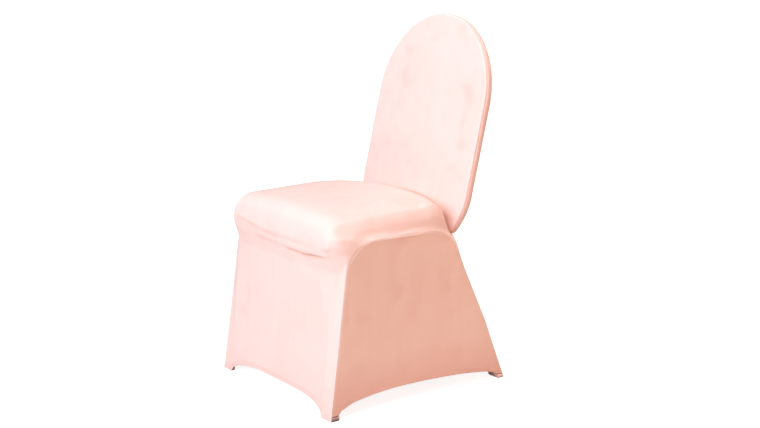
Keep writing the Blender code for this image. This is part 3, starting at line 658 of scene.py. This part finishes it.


# The main creases of each panel: name, width, depth, then the points of its line. Troughs are negative, and
# their colour is darkened with painted shade
seatFolds = (
    ("nose crease", 0.0036, -0.0011, (-0.227, -0.212, 0.417), (-0.208, -0.24, 0.417), (-0.156, -0.248, 0.415),
     (-0.073, -0.249, 0.402), (0.05, -0.249, 0.401), (0.12, -0.248, 0.401)),
    ("crease lip", 0.005, 0.0009, (-0.224, -0.212, 0.427), (-0.208, -0.238, 0.426), (-0.156, -0.247, 0.424),
     (-0.073, -0.249, 0.413), (0.05, -0.249, 0.412), (0.13, -0.249, 0.411)),
    ("corner smile", 0.0034, -0.0075, (0.032, -0.242, 0.3769), (0.066, -0.2415, 0.3758),
     (0.104, -0.241, 0.3742), (0.149, -0.24, 0.3788), (0.182, -0.238, 0.3841), (0.21, -0.236, 0.3914)),
    ("band edge", 0.0032, -0.0008, (-0.152, -0.24, 0.3852), (-0.088, -0.244, 0.3842), (-0.02, -0.245, 0.3804),
     (0.035, -0.244, 0.3778)),
    ("over the smile", 0.007, 0.0014, (0, -0.247, 0.387), (0.11, -0.2455, 0.388), (0.18, -0.243, 0.395)),
    ("small smile", 0.0032, -0.0014, (0.184, -0.247, 0.404), (0.202, -0.245, 0.402), (0.218, -0.236, 0.405)),
    ("corner pucker", 0.0042, -0.001, (0.205, -0.238, 0.426), (0.219, -0.222, 0.42), (0.23, -0.198, 0.411)),
    ("low pucker", 0.0038, -0.0008, (0.212, -0.231, 0.396), (0.224, -0.217, 0.397), (0.231, -0.201, 0.392)),
    ("gather at the left", 0.004, -0.0008, (-0.221, -0.225, 0.403), (-0.205, -0.231, 0.398),
     (-0.18, -0.232, 0.396)),
    ("corner crumple", 0.0022, 0.001, (0.223, -0.225, 0.425), (0.223, -0.203, 0.43)),
    ("lower crumple", 0.002, -0.0007, (0.223, -0.205, 0.415), (0.223, -0.182, 0.42), (0.223, -0.159, 0.423)),
    ("side pull", 0.007, -0.0007, (0.208, -0.11, 0.444), (0.206, 0.03, 0.442)),
    ("lower side pull", 0.004, -0.0006, (0.219, -0.06, 0.428), (0.214, 0.06, 0.428)),
    ("rear side pull", 0.007, -0.0009, (0.184, 0.118, 0.43), (0.202, 0.06, 0.436)),
)
innerFolds = (
    ("right hollow", 0.02, -0.0008, (0.125, 0.24, 0.787), (0.151, 0.224, 0.715), (0.15, 0.207, 0.641),
     (0.144, 0.188, 0.561)),
    ("left hollow", 0.022, -0.0007, (-0.111, 0.25, 0.829), (-0.109, 0.23, 0.74), (-0.112, 0.21, 0.656)),
    ("middle rise", 0.024, 0.0012, (-0.003, 0.25, 0.827), (0.034, 0.215, 0.678), (0.06, 0.184, 0.541)),
    ("low left hollow", 0.012, -0.0006, (-0.177, 0.191, 0.571), (-0.059, 0.193, 0.581)),
)
sideFolds = (
    ("front pull", 0.007, -0.0006, (0.236, -0.203, 0.288), (0.236, -0.207, 0.216)),
    ("low front pull", 0.009, -0.0006, (0.239, -0.227, 0.128), (0.239, -0.232, 0.08)),
    ("rear pull", 0.012, -0.0007, (0.238, 0.2, 0.22), (0.238, 0.234, 0.148), (0.238, 0.25, 0.091)),
)

# Making and sewing the panels
innerGrid = backRows(back["junction"], 3, frontDepth)
seatFlat = sagged(seatGrid(innerGrid[-1][len(across) - 1:]))
sideFlat = sideGrid()
seat = Sheet(seatFlat, 1, seatFolds, "last row", seed=11)
inner = Sheet(innerGrid, 1, innerFolds, seed=12)
rear = Sheet(rearGrid(), -1, (), "last row", seed=13)
strip = Sheet(stripGrid(), -1, seed=14)
right = Sheet(sideFlat, -1, sideFolds, "first row", seed=15)
left = Sheet(mirrored(sideFlat), 1, (), "first row", seed=16)
panels = {"seat": seat, "inner": inner, "rear": rear, "strip": strip, "right": right, "left": left}
lastColumn = 2 * (len(across) - 1)
waistCount = len(waistShares) - 1
railCount = len(railShares) - 1
legCount = len(frontShares) - lipRows
outlineCount = len(outlineSteps)
cornerRow = waistCount + railCount
waistRow = outlineCount + waistCount
sew(seat, edgeColumns(0, 0, lastColumn + 1), inner, edgeColumns(outlineCount - 1, 0, lastColumn + 1))
for column, side, stripRows in (
        (lastColumn, right, np.arange(outlineCount - 1, -1, -1)),
        (0, left, np.arange(outlineCount, 2 * outlineCount))):
    sew(seat, edgeRows(column, waistCount, cornerRow + 1), side, edgeColumns(legCount - 1, railCount, -1))
    sew(seat, edgeRows(column, cornerRow, cornerRow + legCount), side, edgeRows(0, legCount - 1, -1))
    sew(seat, edgeRows(column, 1, waistCount + 1), rear, edgeRows(column, outlineCount, waistRow))
    sew(rear, edgeRows(column, waistRow - 1, waistRow + legCount - 1),
        side, edgeRows(railCount, legCount - 1, -1))
    for panel, stripColumn in ((inner, 0), (rear, stripColumns)):
        sew(panel, edgeRows(column, 0, outlineCount), strip, (stripRows, stripRows * 0 + stripColumn))
for sheet in panels.values():
    sheet.settle(straightTop=sheet in (inner, rear))
print("panels sewn")

# Shader groups that several materials share

def addNode(tree, kind, inputs=None, **settings):
    # A new node with its inputs set or linked. It gives the outputs
    node = tree.nodes.new(kind)
    for name, value in settings.items():
        setattr(node, name, value)
    for name, value in (inputs or {}).items():
        if isinstance(value, bpy.types.NodeSocket):
            tree.links.new(value, node.inputs[name])
        else:
            node.inputs[name].default_value = value
    return node.outputs


def mathOf(tree, operation, *values):
    return addNode(tree, "ShaderNodeMath", dict(enumerate(values)), operation=operation)[0]


def rangeOf(tree, value, low, high, least=0.0, most=1.0):
    return addNode(tree, "ShaderNodeMapRange", {
        "Value": value, "From Min": low, "From Max": high, "To Min": least, "To Max": most})["Result"]


def noiseOf(tree, place, scale, detail, roughness=0.5):
    return addNode(tree, "ShaderNodeTexNoise", {
        "Vector": place, "Scale": scale, "Detail": detail, "Roughness": roughness})["Fac"]


def newGroup(name, values, result):
    # A group that takes a place in metres and named numbers, and gives one number
    tree = bpy.data.node_groups.new(name, "ShaderNodeTree")
    tree.interface.new_socket("Vector", in_out="INPUT", socket_type="NodeSocketVector")
    for key, value in values.items():
        tree.interface.new_socket(key, in_out="INPUT", socket_type="NodeSocketFloat").default_value = value
    tree.interface.new_socket(result, in_out="OUTPUT", socket_type="NodeSocketFloat")
    return tree, addNode(tree, "NodeGroupInput"), tree.nodes.new("NodeGroupOutput").inputs[result]


knitLook = {"Wale Width": 0.0011, "lean": 0.9, "loopsPerWale": 1.4, "loopShare": 0.6}
dyeLook = {"Patch Scale": 9.0, "Streak Scale": 42.0, "pull": (1.0, 1.0, 0.12), "streakShare": 0.4}


def knitGroup(look):
    # Height of a fine warp knit: upright wales crossed by slanting loops
    tree, start, result = newGroup("Warp knit relief", {"Wale Width": look["Wale Width"]}, "Height")
    turns = mathOf(tree, "DIVIDE", 2 * math.pi, start["Wale Width"])
    scaled = addNode(tree, "ShaderNodeVectorMath", {0: start["Vector"], "Scale": turns}, operation="SCALE")[0]
    parts = addNode(tree, "ShaderNodeSeparateXYZ", {0: scaled})
    slant = mathOf(tree, "MULTIPLY_ADD", mathOf(tree, "SINE", parts["X"]), look["lean"], parts["Y"])
    loops = mathOf(tree, "COSINE", mathOf(tree, "MULTIPLY", slant, look["loopsPerWale"]))
    ribs = mathOf(tree, "COSINE", parts["X"])
    tree.links.new(mathOf(tree, "MULTIPLY_ADD", loops, look["loopShare"], ribs), result)
    return tree


def dyeGroup(look):
    # How evenly the cloth took its dye: soft patches, and faint streaks along the pull of the cloth
    tree, start, result = newGroup(
        "Uneven dye", {name: look[name] for name in ("Patch Scale", "Streak Scale")}, "Factor")
    patches = noiseOf(tree, start["Vector"], start["Patch Scale"], 3.0, 0.55)
    drawn = addNode(tree, "ShaderNodeVectorMath", {0: start["Vector"], 1: look["pull"]}, operation="MULTIPLY")
    streaks = noiseOf(tree, drawn[0], start["Streak Scale"], 2.0)
    blend = addNode(
        tree, "ShaderNodeMix", {"Factor": look["streakShare"], "A": patches, "B": streaks}, data_type="FLOAT")
    tree.links.new(blend[0], result)
    return tree


knit = knitGroup(knitLook)
dye = dyeGroup(dyeLook)

# Stretch cloth
clothLook = {
    "light": (0.945, 0.622, 0.51), "deep": (0.93, 0.592, 0.478), "dyeSpread": (0.36, 0.64),
    # seamTint is a painted highlight along the seams, lighter than the cloth
    "seamTint": (0.965, 0.69, 0.6), "seamShare": 0.6,
    "hemTint": (0.9, 0.525, 0.415), "hemShare": 0.45,
    # foldTint is painted shade in the troughs of the folds
    "foldTint": (0.84, 0.42, 0.31), "foldShare": 0.6,
    "lowTint": (0.905, 0.53, 0.42), "lowShare": 0.15, "lowFrom": 0.12, "lowTo": 0.03,
    "soil": (0.6, 0.4, 0.33), "soilShare": 0.35, "soilBelow": (0.05, 0.004), "soilScale": 75,
    "roughness": 0.52, "specular": 0.4,
    "sheen": 0.14, "sheenRoughness": 0.35, "sheenTint": (1, 0.95, 0.93),
    "wale": 0.0012, "knitDepth": 0.00007, "crumpleDepth": 0.00012, "crumpleScale": 130, "relief": 0.8,
}


def mixColours(tree, factor, first, second):
    first, second = ((*value, 1) if isinstance(value, tuple) else value for value in (first, second))
    return addNode(tree, "ShaderNodeMix", {"Factor": factor, 6: first, 7: second}, data_type="RGBA")[2]


def newMaterial(name, constants):
    material = bpy.data.materials.new(name)
    material.use_nodes = True
    tree = material.node_tree
    shader = tree.nodes["Principled BSDF"]
    for key, value in constants.items():
        shader.inputs[key].default_value = value
    return material, tree, shader, addNode(tree, "ShaderNodeTexCoord")["Object"]


def clothMaterial(name, look):
    material, tree, shader, place = newMaterial(name, {
        "Sheen Weight": look["sheen"], "Sheen Roughness": look["sheenRoughness"],
        "Sheen Tint": (*look["sheenTint"], 1), "Specular IOR Level": look["specular"]})
    uneven = addNode(tree, "ShaderNodeGroup", {"Vector": place}, node_tree=dye)["Factor"]
    colour = mixColours(tree, rangeOf(tree, uneven, *look["dyeSpread"]), look["light"], look["deep"])
    # painted highlight or painted shade along the seams, painted shade in the troughs of the folds, and the
    # deeper colour of the doubled hem
    for mask in ("fold", "hem", "seam"):
        value = addNode(tree, "ShaderNodeAttribute", attribute_name=mask)["Fac"]
        share = mathOf(tree, "MULTIPLY", value, look[mask + "Share"])
        colour = mixColours(tree, share, colour, look[mask + "Tint"])
    # the colour deepens towards the hem, and the cloth has handling marks near the floor
    height = addNode(tree, "ShaderNodeSeparateXYZ", {0: place})["Z"]
    towardsHem = rangeOf(tree, height, look["lowFrom"], look["lowTo"], 0, look["lowShare"])
    colour = mixColours(tree, towardsHem, colour, look["lowTint"])
    marks = rangeOf(tree, noiseOf(tree, place, look["soilScale"], 4.0), 0.45, 0.75, 0, look["soilShare"])
    soiled = mathOf(tree, "MULTIPLY", rangeOf(tree, height, *look["soilBelow"]), marks)
    colour = mixColours(tree, soiled, colour, look["soil"])
    rough = rangeOf(tree, uneven, 0.3, 0.7, look["roughness"] - 0.04, look["roughness"] + 0.05)
    weave = addNode(tree, "ShaderNodeUVMap", uv_map="weave")["UV"]
    loops = addNode(tree, "ShaderNodeGroup", {"Vector": weave, "Wale Width": look["wale"]}, node_tree=knit)
    normal = None
    for height, depth in ((noiseOf(tree, place, look["crumpleScale"], 2.0), "crumpleDepth"),
                          (loops["Height"], "knitDepth")):
        relief = {"Height": height, "Distance": look[depth], "Strength": look["relief"]}
        normal = addNode(tree, "ShaderNodeBump", {**relief, "Normal": normal} if normal else relief)["Normal"]
    for socket, value in (("Base Color", colour), ("Roughness", rough), ("Normal", normal)):
        tree.links.new(value, shader.inputs[socket])
    return material


stretchCloth = clothMaterial("Stretch cloth", clothLook)
# The side panels face away from the key light: a copy of the cloth with painted shade, darker and more
# orange, and darker still towards the hem
shadedSideCloth = clothMaterial("Shaded side cloth", dict(
    clothLook, light=(0.928, 0.598, 0.46), deep=(0.915, 0.568, 0.432), lowTint=(0.84, 0.455, 0.335),
    lowShare=0.85, lowFrom=0.13))
# The inner back: the same cloth with painted shade along its seams in place of the painted highlight
backCloth = clothMaterial("Inner back cloth", dict(clothLook, seamTint=(0.905, 0.545, 0.43)))
# The edge strip faces away from the key light: a copy of the cloth with painted shade, and painted shade
# along its seams
shadedStripCloth = clothMaterial("Shaded strip cloth", dict(
    clothLook, light=(0.92, 0.61, 0.5), deep=(0.9, 0.58, 0.47), seamTint=(0.9, 0.5, 0.38), sheen=0.03))

# Pocket cloth: dark at the sole, fading up into the cloth's own colour
soleLook = dict(
    clothLook, light=(0.8, 0.5, 0.42), deep=(0.66, 0.4, 0.33), hemTint=(0.6, 0.37, 0.3), roughness=0.72,
    wale=0.0014, knitDepth=0.00016, crumpleDepth=0.0004, sole=(0.15, 0.078, 0.056),
    taupe=(0.33, 0.215, 0.18), soleTop=0.0048, taupeTop=0.01, soleBlur=0.0025, taupeFrom=0.0015,
    ragged=0.0016, jitterScale=160)


def soleMaterial(name, look):
    # three bands by height, each with an uneven edge
    material = clothMaterial(name, look)
    tree = material.node_tree
    base = tree.nodes["Principled BSDF"].inputs["Base Color"]
    above = base.links[0].from_socket
    place = addNode(tree, "ShaderNodeTexCoord")["Object"]
    height = addNode(tree, "ShaderNodeSeparateXYZ", {0: place})["Z"]
    jitter = noiseOf(tree, place, look["jitterScale"], 3.0)
    level = mathOf(tree, "ADD", height, rangeOf(tree, jitter, 0.3, 0.7, -look["ragged"], look["ragged"]))
    upper = rangeOf(tree, level, look["soleTop"] + look["taupeFrom"], look["taupeTop"])
    lower = rangeOf(tree, level, look["soleTop"] - look["soleBlur"], look["soleTop"])
    colour = mixColours(tree, upper, look["taupe"], above)
    tree.links.new(mixColours(tree, lower, look["sole"], colour), base)
    return material


soleCloth = soleMaterial("Sole cloth", soleLook)
paleSole = soleMaterial("Paler sole cloth", dict(
    soleLook, light=clothLook["light"], deep=clothLook["deep"], sole=(0.3, 0.18, 0.14),
    taupe=(0.7, 0.46, 0.38), soleTop=0.0026, taupeTop=0.0045))

# Sewing thread, a little glossier than the cloth
threadLook = {
    "light": (0.93, 0.60, 0.50), "deep": (0.84, 0.47, 0.37), "roughness": 0.42, "twist": 2600.0,
    "relief": 0.00004,
}


def threadMaterial(look):
    material, tree, shader, place = newMaterial("Sewing thread", {"Roughness": look["roughness"]})
    plies = addNode(tree, "ShaderNodeTexWave", {
        "Vector": place, "Scale": look["twist"], "Distortion": 0.6})["Fac"]
    bump = addNode(tree, "ShaderNodeBump", {"Height": plies, "Distance": look["relief"]})["Normal"]
    tree.links.new(mixColours(tree, plies, look["deep"], look["light"]), shader.inputs["Base Color"])
    tree.links.new(bump, shader.inputs["Normal"])
    return material


thread = threadMaterial(threadLook)
print("materials made")

# Panels as objects. The table gives each one's object name, the part of the model that it stands for, and the
# flat size and area that it was cut to before it was stretched
cuts = {
    "seat": ("seat_front_cloth", "seat_front_panel", (0.46, 0.84), 0.370),
    "inner": ("inner_back_cloth", "inner_back_panel", (0.39, 0.49), 0.170),
    "rear": ("rear_cloth", "rear_panel", (0.46, 0.92), 0.340),
    "strip": ("edge_strip_cloth", "edge_strip", (0.0165, 1.20), 0.0190),
    "right": ("side_cloth_right", "side_panel_right", (0.48, 0.38), 0.140),
    "left": ("side_cloth_left", "side_panel_left", (0.48, 0.38), 0.140),
}
panelCloths = {"inner": backCloth, "strip": shadedStripCloth, "right": shadedSideCloth, "left": shadedSideCloth}
things = {}
for key, (name, *_) in cuts.items():
    thing = sheetObject(panels[key], name)
    thing.data.materials.append(panelCloths.get(key, stretchCloth))
    things[key] = thing
print("panels made")

# Stitches, repeated along a line by Geometry Nodes
stitchValues = {"Stitch Length": 0.0027, "Gap": 0.0009, "Thickness": 0.00042, "Unevenness": 0.12}


def stitchTree():
    tree = bpy.data.node_groups.new("Stitches along a line", "GeometryNodeTree")
    sockets = tree.interface
    sockets.new_socket("Geometry", in_out="INPUT", socket_type="NodeSocketGeometry")
    for name, value in stitchValues.items():
        sockets.new_socket(name, in_out="INPUT", socket_type="NodeSocketFloat").default_value = value
    sockets.new_socket("Seed", in_out="INPUT", socket_type="NodeSocketInt")
    sockets.new_socket("Material", in_out="INPUT", socket_type="NodeSocketMaterial")
    sockets.new_socket("Geometry", in_out="OUTPUT", socket_type="NodeSocketGeometry")
    start = addNode(tree, "NodeGroupInput")
    pitch = mathOf(tree, "ADD", start["Stitch Length"], start["Gap"])
    line = addNode(tree, "GeometryNodeMeshToCurve", {"Mesh": start["Geometry"]})[0]
    points = addNode(tree, "GeometryNodeCurveToPoints", {"Curve": line, "Length": pitch}, mode="LENGTH")
    ball = addNode(tree, "GeometryNodeMeshUVSphere", {"Segments": 8, "Rings": 6, "Radius": 0.5})["Mesh"]
    size = addNode(tree, "ShaderNodeCombineXYZ", {
        "X": start["Thickness"], "Y": start["Thickness"], "Z": start["Stitch Length"]})[0]
    least, most = (mathOf(tree, kind, 1.0, start["Unevenness"]) for kind in ("SUBTRACT", "ADD"))
    vary = addNode(
        tree, "FunctionNodeRandomValue", {2: least, 3: most, "Seed": start["Seed"]}, data_type="FLOAT")[1]
    scaled = addNode(tree, "ShaderNodeVectorMath", {0: size, "Scale": vary}, operation="SCALE")[0]
    placed = addNode(tree, "GeometryNodeInstanceOnPoints", {
        "Points": points["Points"], "Instance": ball, "Rotation": points["Rotation"], "Scale": scaled})[0]
    real = addNode(tree, "GeometryNodeRealizeInstances", {0: placed})[0]
    smooth = addNode(tree, "GeometryNodeSetShadeSmooth", {0: real})[0]
    dressed = addNode(tree, "GeometryNodeSetMaterial", {0: smooth, "Material": start["Material"]})[0]
    tree.links.new(dressed, tree.nodes.new("NodeGroupOutput").inputs["Geometry"])
    return tree


stitches = stitchTree()


def stitchedLines(name, lines, seed):
    # Lines are in the tables' own coordinates, as the panels are
    mesh = bpy.data.meshes.new(name + "_line")
    places, edges = [], []
    for line in lines:
        first = len(places)
        places += (line - toMiddle).tolist()
        edges += [(i, i + 1) for i in range(first, len(places) - 1)]
    mesh.from_pydata(places, edges, [])
    guide = linked(name + "_line", mesh)
    modifier = guide.modifiers.new("Stitches", "NODES")
    modifier.node_group = stitches
    wanted = dict(stitchValues, Seed=seed, Material=thread)
    for socket in stitches.interface.items_tree:
        if socket.in_out == "INPUT" and socket.name in wanted:
            modifier[socket.identifier] = wanted[socket.name]
    bpy.context.view_layer.update()
    made = bpy.data.meshes.new_from_object(guide.evaluated_get(bpy.context.evaluated_depsgraph_get()))
    made.name = name
    bpy.data.objects.remove(guide, do_unlink=True)
    return linked(name, made)


hemRows = {"fromHem": (0.0094, 0.0058), "lift": 0.0001, "firstSeed": 20}
hemStitches = {}
for seed, key in enumerate(("seat", "rear", "right", "left"), hemRows["firstSeed"]):
    rows = [panels[key].atHem(distance, hemRows["lift"]) for distance in hemRows["fromHem"]]
    hemStitches[key] = stitchedLines(cuts[key][0] + "_hem_stitches", rows, seed)
print("stitches made")

# Foot pockets: a sole with a wall towards the middle, one towards the hem, and a lip under the side hem
pocket = {
    "height": 0.014, "clear": 0.0009, "beside": 0.0002, "inner": {"front": 0.2075, "rear": 0.212},
    # where each one ends along y, and the flat size and area of its cut
    "corners": {
        "front_right": (-0.2345, (0.055, 0.045), 0.0018), "front_left": (-0.2465, (0.045, 0.032), 0.0011),
        "rear_right": (0.27, (0.05, 0.04), 0.0016), "rear_left": (0.27, (0.05, 0.04), 0.0016)},
    "leanShare": 0.9, "cell": 0.0025, "bulge": 0.0012, "crumple": 0.0006,
    "crumpleRates": (610, 1130, 420),    # along it, finer along it, and up it
    "outerShare": 0.6,                   # the outer walls move less than the inner ones
}


def pocketObject(place, side):
    line = frontLeg if place == "front" else rearLeg
    end = -1 if place == "front" else 1
    foot, higher = line([1])[0], line([pocket["leanShare"]])[0]
    lean = (higher - foot) / (higher - foot)[2]
    thick = cloth["thickness"]
    clearX = foot[0] - thick - pocket["clear"]
    innerX = pocket["inner"][place]
    tailY = pocket["corners"][place + "_" + side][0]
    outerY = foot[1] - end * (thick + pocket["clear"])
    xs = [innerX, innerX + thick, clearX - thick, foot[0] - pocket["beside"]]
    ys = [outerY, tailY + end * thick, tailY]
    lip = legs["soleLip"] - 2 * pocket["clear"]
    heights = [[pocket["height"], thick, lip], [pocket["height"], pocket["height"], lip]]
    mesh = bmesh.new()
    sides = 1 if side == "right" else -1
    for i in range(3):
        for j in range(2):
            low, high = sorted((ys[j], ys[j + 1]))
            sizes = xs[i + 1] - xs[i], high - low, heights[j][i]
            steps = [max(1, round(size / pocket["cell"])) for size in sizes]
            block(mesh, (xs[i], low, 0), (xs[i + 1], high, heights[j][i]), steps)
    bmesh.ops.remove_doubles(mesh, verts=mesh.verts[:], dist=1e-6)
    inside = [f for f in mesh.faces if len({e for e in f.edges if len(e.link_faces) > 2}) == len(f.edges)]
    bmesh.ops.delete(mesh, geom=inside, context="FACES")
    coarse, fine, rise = pocket["crumpleRates"]
    for vertex in mesh.verts:
        x, y, z = vertex.co
        # the walls bulge and crumple, the outer ones outward and the inner ones inward
        swell = math.sin(math.pi * min(z / lip, 1)) if z > 0 else 0
        ripple = math.sin(y * coarse + 1.3 * sides) + 0.6 * math.sin(y * fine + z * rise)
        push = swell * pocket["bulge"] + pocket["crumple"] * ripple * min(z / lip, 1)
        x += push * (pocket["outerShare"] if x > (innerX + foot[0]) / 2 else -1)
        vertex.co = ((x + lean[0] * z) * sides, y + lean[1] * z - back["middleY"], z)
    bmesh.ops.recalc_face_normals(mesh, faces=mesh.faces[:])
    data = bpy.data.meshes.new("pocket")
    mesh.to_mesh(data)
    mesh.free()
    return linked("foot_pocket_cloth_" + place + "_" + side, data)


def block(mesh, low, high, steps):
    # A closed box whose faces are divided into small cells
    low, high, steps = np.array(low), np.array(high), np.array(steps)
    for axis in range(3):
        u, v = (axis + 1) % 3, (axis + 2) % 3
        for end, a, b in product((0, 1), range(steps[u]), range(steps[v])):
            corners = []
            for da, db in ((0, 0), (1, 0), (1, 1), (0, 1)):
                share = np.zeros(3)
                share[[axis, u, v]] = end, (a + da) / steps[u], (b + db) / steps[v]
                corners.append(mesh.verts.new(low + (high - low) * share))
            mesh.faces.new(corners if end else corners[::-1])


pockets = {}
for place in ("front", "rear"):
    for side in ("right", "left"):
        thing = pocketObject(place, side)
        thing.data.materials.append(soleCloth if (place, side) == ("front", "right") else paleSole)
        pockets[place + "_" + side] = thing
print("pockets made")

# Each piece on the root body, in place of the part of the model that it stands for
for key, (name, node, flat, area) in cuts.items():
    thing = things[key]
    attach(thing, "root")
    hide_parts(node)
    sewn = [hemStitches[key]] if key in hemStitches else []
    for piece in sewn:
        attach(piece, "root")
for key, thing in pockets.items():
    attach(thing, "root")
    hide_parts("foot_pocket_" + key)
    _, flat, area = pocket["corners"][key]

# Camera at the photo's angle
camera = {
    "azimuth": 53.0854, "distance": 3.1377, "height": 1.1191,
    "yaw": -0.9973, "pitch": 12.4771, "roll": 0.6388,
    "focal": 1266.198, "frameWidth": 760, "sensor": 36,
}


def makeCamera(values):
    azimuth = math.radians(values["azimuth"])
    heading = azimuth + math.radians(values["yaw"])
    tilt = math.pi / 2 - math.radians(values["pitch"])
    turn = (Matrix.Rotation(heading, 3, "Z") @ Matrix.Rotation(tilt, 3, "X")
            @ Matrix.Rotation(math.radians(values["roll"]), 3, "Z"))
    data = bpy.data.cameras.new("Camera")
    data.sensor_width = values["sensor"]
    data.lens = values["focal"] * values["sensor"] / values["frameWidth"]
    data.clip_end = 200
    thing = linked("Camera", data)
    thing.rotation_mode = "QUATERNION"
    thing.rotation_quaternion = turn.to_quaternion()
    thing.location = (math.sin(azimuth) * values["distance"],
                      -math.cos(azimuth) * values["distance"] - back["middleY"], values["height"])
    scene.camera = thing


makeCamera(camera)

# Soft studio light and a pale floor
studio = {
    "lamps": {
        "key": ((0.85, -3.8, 2.4), 2.8, 211, (0.83, 1, 1.23)),
        "top": ((0.5, 0.1, 3.6), 3.0, 94, (0.83, 0.98, 1.1)),
        "side": ((3.6, 1.6, 1.4), 2.6, 48, (1, 0.41, 0.14)),
        "rear": ((-1.2, 4.4, 1.2), 2.4, 60, (1, 0.92, 0.9)),
    },
    "aim": (0, 0, 0.45),
    "world": (1, 0.77, 0.67), "worldStrength": 0.125,
    "floorSize": 120, "floorColour": (0.68, 0.61, 0.57),
    "glowNear": (0.9, 0.86), "glowFar": (3, 1.05),     # distance from the middle and strength
}


def makeStudio(values):
    scene.view_settings.view_transform = "Standard"
    for name, (place, size, power, colour) in values["lamps"].items():
        data = bpy.data.lights.new(name, "AREA")
        data.size = size
        data.energy = power
        data.color = colour
        lamp = linked(name, data)
        lamp.location = place
        lamp.rotation_euler = (Vector(values["aim"]) - Vector(place)).to_track_quat("-Z", "Y").to_euler()
    world = bpy.data.worlds.new("Studio")
    world.use_nodes = True
    background = world.node_tree.nodes["Background"]
    background.inputs["Color"].default_value = (*values["world"], 1)
    background.inputs["Strength"].default_value = values["worldStrength"]
    scene.world = world
    half = values["floorSize"] / 2
    mesh = bpy.data.meshes.new("Floor")
    corners = [(-half, -half, 0), (half, -half, 0), (half, half, 0), (-half, half, 0)]
    mesh.from_pydata(corners, [], [(0, 1, 2, 3)])
    floor = linked("Floor", mesh)
    pale, tree, shader, place = newMaterial("Pale floor", {
        "Base Color": (*values["floorColour"], 1), "Roughness": 0.9, "Specular IOR Level": 0.1,
        "Emission Color": (1, 1, 1, 1)})
    # the glow whitens the floor for the camera, least of all near the cover, and lights nothing
    seen = addNode(tree, "ShaderNodeLightPath")["Is Camera Ray"]
    away = addNode(tree, "ShaderNodeVectorMath", {0: place}, operation="LENGTH")["Value"]
    (near, least), (far, most) = values["glowNear"], values["glowFar"]
    glow = mathOf(tree, "MULTIPLY", seen, rangeOf(tree, away, near, far, least, most))
    tree.links.new(glow, shader.inputs["Emission Strength"])
    mesh.materials.append(pale)


makeStudio(studio)
